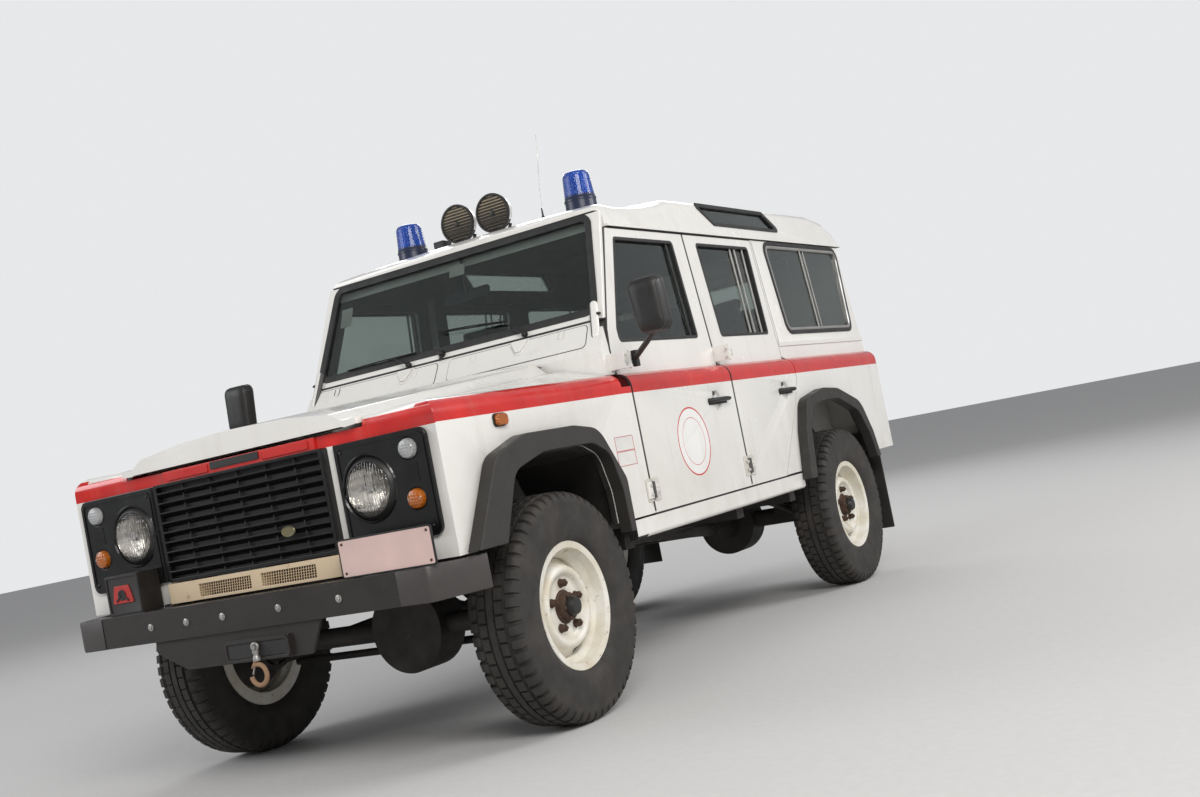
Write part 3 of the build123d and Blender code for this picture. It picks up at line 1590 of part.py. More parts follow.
# columns: place along the column, radius
rim_outline = [
    (-wheel_rim_half, wheel_rim_radius - rim_flat), (-wheel_rim_half, wheel_rim_radius + rim_flat),
    (-rim_flat, wheel_rim_radius + wheel_rim_half), (rim_flat, wheel_rim_radius + wheel_rim_half),
    (wheel_rim_half, wheel_rim_radius + rim_flat), (wheel_rim_half, wheel_rim_radius - rim_flat),
    (rim_flat, wheel_rim_radius - wheel_rim_half), (-rim_flat, wheel_rim_radius - wheel_rim_half),
]

with BuildPart() as steering_wheel:
    add(turned(rim_outline, steering_centre, (1, 0, 0), column_tilt))
    with Locations(Plane(origin=steering_centre, x_dir=(1, 0, 0), z_dir=column_tilt).location):
        Cylinder(boss_radius, boss_height)
        Box(2 * spoke_reach, spoke_width, spoke_thickness)
        with Locations((0, -spoke_reach / 2, 0)):
            Box(spoke_width, spoke_reach, spoke_thickness)
    column_foot = tuple(c - column_length * way for c, way in zip(steering_centre, column_tilt))
    rod(column_foot, steering_centre, column_radius)
    add(dashboard.part, mode=Mode.SUBTRACT)

# Exhaust and fuel tank
pipe_radius = 26
silencer_radius = 88
pipe_x = -290
# columns: place across, back from the front axle, height
exhaust_route = (
    (-engine_half - seat_gap, 380, 700), (pipe_x, 380, 700), (pipe_x, 500, 600), (pipe_x + 40, 800, 345),
    (pipe_x, 1500, 380), (pipe_x, 2000, 420), (pipe_x, 2200, 440), (pipe_x, 2600, 590), (pipe_x, 2950, 590),
    (pipe_x - 10, tail_back + 45, 540),
)

with BuildPart() as exhaust:
    bar([(x, back(y), z) for x, y, z in exhaust_route], pipe_radius)
    rod((pipe_x, back(1480), 395), (pipe_x, back(1980), 400), silencer_radius)

tank_front = wheelbase + 306
tank_low = 470

with BuildPart() as fuel_tank:
    tank_end = tail_y - rear_member_depth - seat_gap
    with BuildSketch(side(-215)):
        outline([
            (back(tank_front) + seat_gap, tank_low, 40), (tank_end, tank_low, 40), (tank_end, 700),
            (back(tank_front) + seat_gap, 700),
        ])
    extrude(amount=515)

# Files, one for each piece
pieces = {
    "aerial": aerial,
    "arch_flares": arch_flares,
    "beacons": beacons,
    "bonnet": bonnet,
    "bulkhead": bulkhead,
    "cab_floor": cab_floor,
    "chassis_frame": chassis_frame,
    "dashboard": dashboard,
    "exhaust": exhaust,
    "fixed_glass": fixed_glass,
    "front_axle": front_axle,
    "front_bumper": front_bumper,
    "front_door_left": front_door_left,
    "front_door_right": front_door_right,
    "front_glass_left": front_glass_left,
    "front_glass_right": front_glass_right,
    "front_panel": front_panel,
    "fuel_tank": fuel_tank,
    "grille": grille,
    "headlamps": headlamps,
    "knuckle_left": knuckle_left,
    "knuckle_right": knuckle_right,
    "lamp_surrounds": lamp_surrounds,
    "mirror_left": mirror_left,
    "mirror_right": mirror_right,
    "powertrain": powertrain,
    "rear_axle": rear_axle,
    "rear_door_left": rear_door_left,
    "rear_door_right": rear_door_right,
    "rear_glass_left": rear_glass_left,
    "rear_glass_right": rear_glass_right,
    "rear_tub": rear_tub,
    "roof": roof,
    "roof_lamps": roof_lamps,
    "seats": seats,
    "side_panels": side_panels,
    "signal_lamps": signal_lamps,
    "spare_tyre": spare_tyre,
    "spare_wheel": spare_wheel,
    "steering_wheel": steering_wheel,
    "suspension": suspension,
    "tail_door": tail_door,
    "tail_glass": tail_glass,
    "tow_hook": tow_hook,
    "track_rod": track_rod,
    "tyre_front_left": tyre_front_left,
    "tyre_front_right": tyre_front_right,
    "tyre_rear_left": tyre_rear_left,
    "tyre_rear_right": tyre_rear_right,
    "wheel_front_left": wheel_front_left,
    "wheel_front_right": wheel_front_right,
    "wheel_rear_left": wheel_rear_left,
    "wheel_rear_right": wheel_rear_right,
    "windscreen_frame": windscreen_frame,
    "wing_left": wing_left,
    "wing_right": wing_right,
}
for label, piece in pieces.items():
    piece.part.label = label
    export_step(piece.part, f"parts/{label}.step")
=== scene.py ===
import json
import math

import bmesh
import bpy
from mathutils import Matrix, Vector
from mathutils.bvhtree import BVHTree

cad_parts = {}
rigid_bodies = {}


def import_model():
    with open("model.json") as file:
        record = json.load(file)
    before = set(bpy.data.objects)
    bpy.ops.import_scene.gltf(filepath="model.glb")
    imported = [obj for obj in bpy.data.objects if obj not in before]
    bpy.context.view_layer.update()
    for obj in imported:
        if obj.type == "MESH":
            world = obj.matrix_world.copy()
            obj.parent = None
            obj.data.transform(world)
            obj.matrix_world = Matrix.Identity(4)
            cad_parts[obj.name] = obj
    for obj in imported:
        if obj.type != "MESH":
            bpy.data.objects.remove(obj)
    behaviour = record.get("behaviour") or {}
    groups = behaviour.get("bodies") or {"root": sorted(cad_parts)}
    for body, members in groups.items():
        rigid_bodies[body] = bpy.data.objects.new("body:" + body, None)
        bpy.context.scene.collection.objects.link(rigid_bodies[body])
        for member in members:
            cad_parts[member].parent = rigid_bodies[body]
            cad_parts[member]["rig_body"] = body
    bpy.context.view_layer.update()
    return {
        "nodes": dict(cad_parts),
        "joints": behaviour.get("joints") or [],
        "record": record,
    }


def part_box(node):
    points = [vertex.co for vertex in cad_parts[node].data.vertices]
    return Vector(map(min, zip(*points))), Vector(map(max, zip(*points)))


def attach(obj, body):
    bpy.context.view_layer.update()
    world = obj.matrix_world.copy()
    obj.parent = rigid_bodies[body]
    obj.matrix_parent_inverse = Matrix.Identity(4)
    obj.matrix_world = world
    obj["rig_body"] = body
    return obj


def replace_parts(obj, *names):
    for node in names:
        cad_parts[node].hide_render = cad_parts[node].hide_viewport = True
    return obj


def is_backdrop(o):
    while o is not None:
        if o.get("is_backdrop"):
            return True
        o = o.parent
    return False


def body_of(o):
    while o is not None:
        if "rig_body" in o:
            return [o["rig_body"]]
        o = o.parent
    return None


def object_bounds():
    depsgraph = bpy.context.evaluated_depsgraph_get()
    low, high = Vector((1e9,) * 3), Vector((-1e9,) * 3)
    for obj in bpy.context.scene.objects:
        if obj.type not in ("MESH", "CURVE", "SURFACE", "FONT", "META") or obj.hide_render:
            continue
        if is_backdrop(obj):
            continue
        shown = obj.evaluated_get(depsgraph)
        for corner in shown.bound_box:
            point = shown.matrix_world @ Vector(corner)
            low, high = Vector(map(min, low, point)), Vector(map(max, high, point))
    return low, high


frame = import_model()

# Places and sizes are in metres: +X to the vehicle's left, the nose towards -Y, ground at zero.
# A place along the vehicle is also given as u, its distance behind the front axle.
cad_nodes = frame["nodes"]
joints = {joint["name"]: joint for joint in frame["joints"]}
front_axle_y = joints["steer_left"]["pos_m"][1]
rear_axle_y = joints["spin_rear_left"]["pos_m"][1]
wheel_x, _, hub_z = joints["spin_front_left"]["pos_m"]
# The body's outline: lower wall and its top, start of the upper wall, gutter, nose and tail
side_x, waist_z = 0.838, 1.132
shoulder_x, shoulder_z = 0.783, 1.187
gutter_x, gutter_z = 0.735, 1.806
nose_u, tail_u = -0.617, 3.575
ahead, leftwards, upwards = Vector((0, -1, 0)), Vector((1, 0, 0)), Vector((0, 0, 1))


def back(distance):
    """Y of a place that lies this far behind the front axle."""
    return front_axle_y + distance


def upper_x(z):
    """Outer half width of the body above the shoulder at height z."""
    return shoulder_x - (shoulder_x - gutter_x) * (z - shoulder_z) / (gutter_z - shoulder_z)


# Materials
edge_softness = 0.0006


class Shader:
    """Node tree of one material, with short calls for the nodes that it uses."""

    def __init__(self, name, colour, roughness, metallic=0.0):
        self.material = bpy.data.materials.new(name)
        self.material.use_nodes = True
        self.tree = self.material.node_tree
        self.surface = self.tree.nodes["Principled BSDF"]
        self.set(Base_Color=colour, Roughness=roughness, Metallic=metallic)
        source = self.tree.nodes.new("ShaderNodeTexCoord")
        self.place = source.outputs["Object"]
        self.x, self.y, self.z = self.parts(self.place)
        self.normal_x, _, self.normal_z = self.parts(source.outputs["Normal"])

    def parts(self, vector):
        node = self.tree.nodes.new("ShaderNodeSeparateXYZ")
        self.feed(node.inputs[0], vector)
        return node.outputs

    def feed(self, socket, value):
        """Links an output to a socket, or sets the socket to a number or colour."""
        if isinstance(value, bpy.types.NodeSocket):
            self.tree.links.new(value, socket)
        elif isinstance(value, tuple) and len(value) == 3 and len(socket.default_value) == 4:
            socket.default_value = (*value, 1)
        else:
            socket.default_value = value

    def math(self, operation, result, *others):
        """The operation on the first value and each of the others in turn."""
        for value in others or (0.0,):
            node = self.tree.nodes.new("ShaderNodeMath")
            node.operation = operation
            self.feed(node.inputs[0], result)
            self.feed(node.inputs[1], value)
            result = node.outputs[0]
        return result

    def times(self, *values):
        return self.math("MULTIPLY", *values)

    def plus(self, *values):
        return self.math("ADD", *values)

    def minus(self, first, second):
        return self.math("SUBTRACT", first, second)

    def most(self, *values):
        return self.math("MAXIMUM", *values)

    def over(self, value, limit):
        return self.math("GREATER_THAN", value, limit)

    def under(self, value, limit):
        return self.math("LESS_THAN", value, limit)

    def sine(self, value, rate):
        return self.math("SINE", self.times(value, rate))

    def distance(self, u, z):
        """Distance in the side view from a place given as Y and height."""
        across, up = self.minus(self.y, u), self.minus(self.z, z)
        return self.math("SQRT", self.plus(self.math("POWER", across, 2.0), self.math("POWER", up, 2.0)))

    def noise(self, scale, detail=4.0, roughness=0.55, stretch=None):
        node = self.tree.nodes.new("ShaderNodeTexNoise")
        for name, number in (("Scale", scale), ("Detail", detail), ("Roughness", roughness)):
            node.inputs[name].default_value = number
        place = self.place
        if stretch:
            mapping = self.tree.nodes.new("ShaderNodeMapping")
            mapping.inputs["Scale"].default_value = stretch
            self.feed(mapping.inputs["Vector"], place)
            place = mapping.outputs[0]
        self.feed(node.inputs["Vector"], place)
        return node.outputs["Fac"]

    def ramp(self, value, low, high, start=0.0, end=1.0):
        """Moves value from its range low..high to start..end, held at both ends."""
        node = self.tree.nodes.new("ShaderNodeMapRange")
        self.feed(node.inputs["Value"], value)
        for name, number in (("From Min", low), ("From Max", high), ("To Min", start), ("To Max", end)):
            node.inputs[name].default_value = number
        return node.outputs[0]

    def blots(self, scale, detail=4.0, low=0.3, high=0.7, start=0.0, end=1.0, roughness=0.55):
        """Noise between low and high, spread over start..end."""
        return self.ramp(self.noise(scale, detail, roughness), low, high, start, end)

    def between(self, value, low, high):
        """One inside the band low..high and nothing outside it."""
        rise = self.ramp(value, low - edge_softness, low + edge_softness)
        return self.times(rise, self.ramp(value, high - edge_softness, high + edge_softness, 1.0, 0.0))

    def mix(self, share, first, second):
        node = self.tree.nodes.new("ShaderNodeMix")
        node.data_type = "RGBA"
        self.feed(node.inputs["Factor"], share)
        self.feed(node.inputs[6], first)
        self.feed(node.inputs[7], second)
        return node.outputs[2]

    def bump(self, height, strength, distance=0.001):
        node = self.tree.nodes.new("ShaderNodeBump")
        node.inputs["Strength"].default_value = strength
        node.inputs["Distance"].default_value = distance
        self.feed(node.inputs["Height"], height)
        self.feed(self.surface.inputs["Normal"], node.outputs[0])

    def set(self, **values):
        for name, value in values.items():
            self.feed(self.surface.inputs[name.replace("_", " ")], value)


# Livery: the band's edges at the tail and how far each drops towards the nose, the blank roundel on the front
# door, and the gaps before both side doors, the first of which follows the windscreen pillar
band_low, band_high, low_drop, high_drop = 1.1061, 1.1882, -0.018, -0.03
roundel_u, roundel_z, roundel_radius = 1.116, 0.875, 0.144
front_gap, rear_gap = (0.6645, 0.6785), (1.59, 1.605)
pillar_foot_z, pillar_bend_z, pillar_slope = 1.29, 1.374, -0.4635
arch_radius = 0.605


def dirt(shader, clean):
    """Road dirt that thickens towards the ground and streaks down from edges."""
    low = shader.ramp(shader.z, 0.45, 0.95, 0.32, 0.0)
    patches = shader.blots(6.0, 6.0, 0.35, 0.75)
    streaks = shader.ramp(shader.noise(14.0, 4.0, 0.6, (1.0, 1.0, 0.12)), 0.55, 0.8, 0.0, 0.16)
    return shader.mix(shader.plus(shader.times(low, patches), streaks), clean, (0.33, 0.26, 0.19))


def livery(shader, side, banded):
    """White with the red band and the roundels."""
    colour = shader.mix(shader.blots(2.2, 3.0), (0.79, 0.775, 0.74), (0.75, 0.73, 0.69))
    drop = shader.ramp(shader.y, back(nose_u), back(0.592), 1.0, 0.0)
    above = shader.ramp(shader.minus(shader.z, shader.times(drop, low_drop)),
                        band_low - edge_softness, band_low + edge_softness)
    below = shader.ramp(shader.minus(shader.z, shader.times(drop, high_drop)),
                        band_high - edge_softness, band_high + edge_softness, 1.0, 0.0)
    band = shader.times(above, below, shader.over(side, 0.765), shader.under(shader.y, back(tail_u) - 0.004))
    front = shader.times(shader.under(shader.y, back(nose_u) + 0.006), shader.over(shader.z, 1.0855))
    red = shader.mix(shader.blots(9.0), (0.62, 0.018, 0.012), (0.5, 0.012, 0.01))
    colour = shader.mix(shader.times(shader.most(band, front), 1.0 if banded else 0.0), colour, red)
    distance = shader.distance(back(roundel_u), roundel_z)
    on_door = shader.over(side, side_x - 0.002)
    disc = shader.ramp(distance, roundel_radius - 0.0005, roundel_radius + 0.0005, 1.0, 0.0)
    colour = shader.mix(shader.times(disc, on_door), colour, (0.86, 0.85, 0.83))
    rings = shader.most(shader.between(distance, 0.1375, roundel_radius), shader.between(distance, 0.098, 0.1005))
    return shader.mix(shader.times(rings, on_door), colour, (0.6, 0.03, 0.025))


def body_paint(name, banded=True):
    """Livery, the rusty apron, road dirt, door rubbers with painted shadow along the door gaps, underseal and cab trim
    on one paint.
    """
    shader = Shader(name, (0.79, 0.775, 0.74), 0.28)
    side = shader.math("ABSOLUTE", shader.x)
    colour = livery(shader, side, banded)
    apron = shader.times(shader.under(shader.y, back(-0.58)), shader.under(shader.z, 0.7405),
                         shader.under(side, 0.42))
    rusty = shader.blots(24.0, 8.0, 0.6, 0.72, roughness=0.7)
    colour = dirt(shader, shader.mix(apron, colour, shader.mix(rusty, (0.66, 0.52, 0.35), (0.3, 0.16, 0.08))))
    # Door gaps: dark rubber colour painted wider than the gaps, partly the seal and partly painted shadow on the panel
    # edges
    lean = shader.times(shader.most(shader.minus(shader.z, pillar_bend_z), 0.0), pillar_slope)
    bend = shader.times(shader.ramp(shader.z, pillar_foot_z, pillar_bend_z), -0.02)
    gap_rubber_and_shadow = [shader.between(line, back(low), back(high)) for line, (low, high) in
            ((shader.plus(shader.y, lean, bend), front_gap), (shader.y, rear_gap))]
    beside = shader.times(shader.over(side, 0.7), shader.between(shader.z, 0.64, 1.799))
    beside = shader.minus(beside, shader.between(shader.z, 1.198, 1.274))
    colour = shader.mix(shader.times(shader.most(*gap_rubber_and_shadow), shader.most(beside, 0.0), 0.88), colour, (0.016, 0.015, 0.014))
    under = shader.times(shader.under(side, 0.8), shader.under(shader.z, 0.64))
    for axle_y in (front_axle_y, rear_axle_y):
        near = shader.under(shader.distance(axle_y, hub_z), arch_radius)
        under = shader.most(under, shader.times(near, shader.under(side, 0.8365)))
    coarse = shader.blots(11.0, 6.0, 0.35, roughness=0.65)
    colour = shader.mix(under, colour, shader.mix(coarse, (0.01, 0.0095, 0.009), (0.026, 0.022, 0.018)))
    inward = shader.under(shader.times(shader.normal_x, shader.x), -0.2)
    downward = shader.times(shader.under(shader.normal_z, -0.5), shader.over(shader.z, 1.78))
    in_cab = shader.times(shader.over(shader.y, back(0.64)), shader.over(shader.z, 0.7))
    inside = shader.times(shader.most(inward, downward), in_cab)
    colour = shader.mix(inside, colour, shader.mix(coarse, (0.115, 0.112, 0.108), (0.085, 0.083, 0.08)))
    unpolished = shader.most(under, inside)
    shader.set(Base_Color=colour, Coat_Weight=shader.ramp(unpolished, 0.0, 1.0, 0.5, 0.0), Coat_Roughness=0.08,
               Roughness=shader.plus(shader.blots(5.0, 5.0, 0.3, 0.75, 0.16, 0.32), shader.times(unpolished, 0.5)))
    shader.bump(shader.noise(3.0, 2.0), 0.25, 0.004)
    return shader.material


def plain_paint(name, colour, roughness=0.35, metallic=0.0, spots=(0.18, 0.1, 0.06), amount=0.35):
    """Paint or plastic with worn spots and uneven gloss."""
    shader = Shader(name, colour, roughness, metallic)
    tone = shader.mix(shader.blots(4.0, 5.0), colour, tuple(c * 0.78 for c in colour))
    worn = shader.blots(30.0, 8.0, 0.62, 0.72, 0.0, amount, 0.7)
    shader.set(Base_Color=shader.mix(worn, tone, spots),
               Roughness=shader.blots(12.0, start=roughness * 0.8, end=min(1.0, roughness * 1.3)))
    shader.bump(shader.noise(60.0, 3.0), 0.18)
    return shader.material


def wheel_paint():
    """Wheel paint gone cream, with rust in scattered patches."""
    shader = Shader("wheel_paint", (0.74, 0.72, 0.65), 0.42)
    tone = shader.mix(shader.blots(9.0, 5.0, 0.35), (0.76, 0.74, 0.68), (0.6, 0.54, 0.42))
    rusty = shader.blots(26.0, 8.0, 0.6, 0.7, roughness=0.7)
    shader.set(Base_Color=shader.mix(shader.times(rusty, 0.75), tone, (0.28, 0.13, 0.06)),
               Roughness=shader.ramp(rusty, 0.0, 1.0, 0.4, 0.85))
    shader.bump(shader.noise(40.0, 5.0), 0.2)
    return shader.material


def tyre_rubber():
    """Worn rubber, browner where dust stays on the tread."""
    shader = Shader("tyre_rubber", (0.045, 0.04, 0.036), 0.72)
    dust = shader.blots(7.0, 6.0, 0.38, 0.72, 0.0, 0.55, 0.65)
    shader.set(Base_Color=shader.mix(dust, (0.021, 0.0195, 0.018), (0.062, 0.051, 0.041)),
               Roughness=shader.blots(18.0, start=0.62, end=0.86))
    shader.bump(shader.noise(160.0, 3.0), 0.25, 0.0008)
    return shader.material


def glass(name, colour):
    """Tinted glazing with faint smears."""
    shader = Shader(name, colour, 0.02)
    shader.set(Transmission_Weight=1.0, IOR=1.45, Roughness=shader.blots(5.0, 4.0, 0.45, 0.8, 0.02, 0.08))
    return shader.material


def lens(name, colour):
    """Moulded lamp lens: coloured, translucent and ribbed."""
    shader = Shader(name, colour, 0.12)
    tone = shader.mix(shader.blots(20.0), colour, tuple(c * 0.7 for c in colour))
    shader.set(Transmission_Weight=0.55, IOR=1.49, Coat_Weight=0.5, Base_Color=tone)
    shader.bump(shader.plus(shader.sine(shader.x, 630.0), shader.sine(shader.z, 630.0)), 0.35, 0.0015)
    return shader.material


def chrome(name, colour, roughness, smooth, dull):
    """Bright metal whose gloss wanders from smooth to dull."""
    shader = Shader(name, colour, roughness, 1.0)
    shader.set(Roughness=shader.blots(20.0, start=smooth, end=dull))
    return shader


def cloth():
    """Woven seat cloth."""
    shader = Shader("seat_cloth", (0.06, 0.062, 0.068), 0.9)
    tone = shader.mix(shader.blots(40.0), (0.05, 0.052, 0.058), (0.085, 0.086, 0.092))
    shader.set(Base_Color=tone, Sheen_Weight=0.3)
    shader.bump(shader.plus(shader.sine(shader.x, 2600.0), shader.sine(shader.y, 2600.0)), 0.3, 0.0006)
    return shader.material


def ribbed_cover():
    """Horizontally ribbed guard of the roof lamps, pale brown behind black bars."""
    shader = Shader("ribbed_cover", (0.35, 0.28, 0.18), 0.5)
    bars = shader.sine(shader.z, 2 * math.pi / 0.0135)
    shader.set(Base_Color=shader.mix(shader.ramp(bars, -0.1, 0.5), (0.33, 0.27, 0.18), (0.02, 0.018, 0.016)))
    shader.bump(bars, 0.6, 0.003)
    return shader.material


def mesh_grid():
    """Radiator core drawn as rows of dark holes."""
    light, rate = (0.016, 0.015, 0.014), 2 * math.pi / 0.0065
    shader = Shader("radiator_mesh", light, 0.6)
    holes = shader.ramp(shader.times(shader.sine(shader.x, rate), shader.sine(shader.z, rate)), 0.02, 0.25)
    shader.set(Base_Color=shader.mix(holes, light, (0.003, 0.003, 0.003)))
    shader.bump(holes, 0.5, 0.002)
    return shader.material


def cut_glass():
    """Head lamp glass, moulded in upright flutes and square blocks."""
    shader = Shader("lamp_cut_glass", (0.93, 0.94, 0.93), 0.04)
    shader.set(Transmission_Weight=1.0, IOR=1.45)
    flutes, blocks = (shader.math("ABSOLUTE", shader.sine(axis, math.pi / pitch))
                      for axis, pitch in ((shader.x, 0.011), (shader.z, 0.028)))
    shader.bump(shader.plus(flutes, shader.times(blocks, 0.5)), 0.55, 0.004)
    return shader.material


white = body_paint("body_paint")
bonnet_white = body_paint("bonnet_paint", banded=False)
black_plastic = plain_paint("black_plastic", (0.014, 0.0135, 0.013), 0.45, spots=(0.06, 0.052, 0.045), amount=0.3)
flare_plastic = plain_paint("flare_plastic", (0.027, 0.024, 0.021), 0.5, spots=(0.075, 0.062, 0.05), amount=0.35)
gloss_black = plain_paint("gloss_black", (0.007, 0.007, 0.007), 0.22, spots=(0.045, 0.04, 0.035), amount=0.25)
bumper_paint = plain_paint("bumper_paint", (0.019, 0.0155, 0.0135), 0.42, spots=(0.085, 0.062, 0.046), amount=0.5)
cap_plastic = plain_paint("cap_plastic", (0.055, 0.048, 0.046), 0.42, spots=(0.11, 0.095, 0.08), amount=0.3)
chassis_paint = plain_paint("chassis_paint", (0.035, 0.031, 0.028), 0.65, spots=(0.14, 0.09, 0.06), amount=0.6)
rubber = plain_paint("seal_rubber", (0.02, 0.02, 0.02), 0.6, spots=(0.07, 0.06, 0.055), amount=0.3)
alloy = plain_paint("dull_alloy", (0.42, 0.41, 0.39), 0.4, 0.7, spots=(0.25, 0.22, 0.19), amount=0.4)
cream = plain_paint("apron_cream", (0.62, 0.47, 0.3), 0.45, spots=(0.22, 0.12, 0.06), amount=0.7)
plate_pink = plain_paint("plate_pink", (0.66, 0.48, 0.44), 0.45, spots=(0.35, 0.25, 0.22), amount=0.3)
rust = plain_paint("rusty_steel", (0.075, 0.043, 0.028), 0.8, 0.2, spots=(0.17, 0.085, 0.045), amount=0.6)
hook_rust = plain_paint("hook_rust", (0.36, 0.22, 0.13), 0.75, 0.2, spots=(0.16, 0.08, 0.04), amount=0.8)
dark_iron = plain_paint("dark_iron", (0.07, 0.062, 0.056), 0.6, 0.4, spots=(0.17, 0.1, 0.06), amount=0.6)
trim_grey = plain_paint("trim_grey", (0.1, 0.1, 0.105), 0.6, spots=(0.15, 0.15, 0.15), amount=0.2)
red_plastic = plain_paint("socket_red", (0.42, 0.025, 0.02), 0.4, spots=(0.12, 0.03, 0.02), amount=0.4)
sticker = plain_paint("sticker_white", (0.8, 0.78, 0.75), 0.5, spots=(0.6, 0.55, 0.5), amount=0.3)
sticker_red = plain_paint("sticker_red", (0.62, 0.05, 0.05), 0.5, spots=(0.7, 0.3, 0.3), amount=0.3)
brass = plain_paint("badge_olive", (0.2, 0.18, 0.1), 0.35, 0.5, spots=(0.1, 0.08, 0.05), amount=0.4)
wheel_white = wheel_paint()
tyre_black = tyre_rubber()
window_glass = glass("window_glass", (0.42, 0.47, 0.45))
mirror_chrome = chrome("reflector_chrome", (0.82, 0.82, 0.8), 0.08, 0.05, 0.16).material
amber_lens = lens("amber_lens", (0.95, 0.24, 0.008))
red_lens = lens("red_lens", (0.5, 0.012, 0.01))
blue_lens = lens("blue_lens", (0.012, 0.1, 0.62))
clear_lens = lens("clear_lens", (0.85, 0.86, 0.86))
seat_cloth = cloth()
lamp_cover = ribbed_cover()
radiator_mesh = mesh_grid()
lamp_cut_glass = cut_glass()
# The reflector's darkened, brownish metal colour is a painted reflection of the brown that the bowl mirrors
bowl_chrome = chrome("lamp_reflector", (0.5, 0.47, 0.43), 0.1, 0.08, 0.2)
bowl_chrome.bump(bowl_chrome.noise(45.0, 2.0), 0.25, 0.004)
lamp_reflector = bowl_chrome.material
band_red = plain_paint("band_red", (0.56, 0.017, 0.012), 0.3, spots=(0.3, 0.05, 0.03), amount=0.3)
hinge_steel = plain_paint("hinge_steel", (0.66, 0.63, 0.57), 0.45, spots=(0.26, 0.12, 0.06), amount=0.7)
beacon_dark = plain_paint("beacon_dark", (0.015, 0.022, 0.06), 0.3, spots=(0.06, 0.06, 0.09), amount=0.3)


# Meshes
def finish_piece(name, bm, material, body="body", slot=None, sharp=35.0, bevel=0.0, segments=2):
    """Turns a bmesh into a piece that rides on a body, with rounded edges if a width is given."""
    mesh = bpy.data.meshes.new(name)
    bmesh.ops.recalc_face_normals(bm, faces=bm.faces)
    bm.to_mesh(mesh)
    bm.free()
    mesh.polygons.foreach_set("use_smooth", [True] * len(mesh.polygons))
    mesh.set_sharp_from_angle(angle=math.radians(sharp))
    obj = bpy.data.objects.new(name, mesh)
    bpy.context.scene.collection.objects.link(obj)
    mesh.materials.append(material)
    if bevel:
        edge = obj.modifiers.new("edge", "BEVEL")
        edge.width = bevel
        edge.segments = segments
        edge.limit_method = "ANGLE"
        edge.angle_limit = math.radians(sharp)
        edge.harden_normals = True
    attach(obj, body)
    return obj


def assembled(parts):
    """Mesh of several parts; each is a helper and what it is called with."""
    bm = bmesh.new()
    for build, *values in parts:
        build(bm, *values)
    return bm


def piece(name, material, *parts, **kind):
    """One piece made of parts."""
    return finish_piece(name, assembled(parts), material, **kind)


def both_sides(name, material, *parts, bodies=("body", "body"), **kind):
    """Builds a piece on the vehicle's left and its mirror image on the right."""
    made = []
    for side, body, word in ((1, bodies[0], "left"), (-1, bodies[1], "right")):
        bm = assembled(parts)
        if side < 0:
            bmesh.ops.scale(bm, vec=(-1, 1, 1), verts=bm.verts)
        made.append(finish_piece(f"{name}_{word}", bm, material, body, **kind))
    return made


def skin(bm, loops, around=True):
    """Faces between each row of points and the next, and from each row's last point to its first."""
    for first, second in zip(loops, loops[1:]):
        count = len(first)
        for index in range(count if around else count - 1):
            after = (index + 1) % count
            bm.faces.new((first[index], first[after], second[after], second[index]))


def points(bm, line):
    """New mesh points along a line of places."""
    return [bm.verts.new(p) for p in line]


def slab(bm, low, high):
    """Block between two corners."""
    low, high = Vector(map(min, low, high)), Vector(map(max, low, high))
    made = bmesh.ops.create_cube(bm, size=1.0)["verts"]
    bmesh.ops.scale(bm, vec=high - low, verts=made)
    bmesh.ops.translate(bm, vec=(low + high) / 2, verts=made)


def turn_to(axis):
    """Rotation that takes +Z to the axis."""
    return Vector(axis).normalized().to_track_quat("Z", "Y").to_matrix()


def lathe(bm, profile, place, axis, steps=32, skip=None):
    """Surface of revolution: profile holds radius and height along the axis."""
    spin = turn_to(axis)
    rings = []
    for radius, height in profile:
        angles = [2 * math.pi * step / steps for step in range(steps)] if radius >= 1e-6 else [0.0]
        rings.append(points(bm, [Vector(place) + spin @ Vector((radius * math.cos(a), radius * math.sin(a), height))
                                 for a in angles]))
    for row, (first, second) in enumerate(zip(rings, rings[1:])):
        for step in range(steps):
            after = (step + 1) % steps
            if skip and skip(row, step) or len(first) == len(second) == 1:
                continue
            if len(first) == 1:
                bm.faces.new((first[0], second[after], second[step]))
            elif len(second) == 1:
                bm.faces.new((first[step], first[after], second[0]))
            else:
                bm.faces.new((first[step], first[after], second[after], second[step]))
    return rings


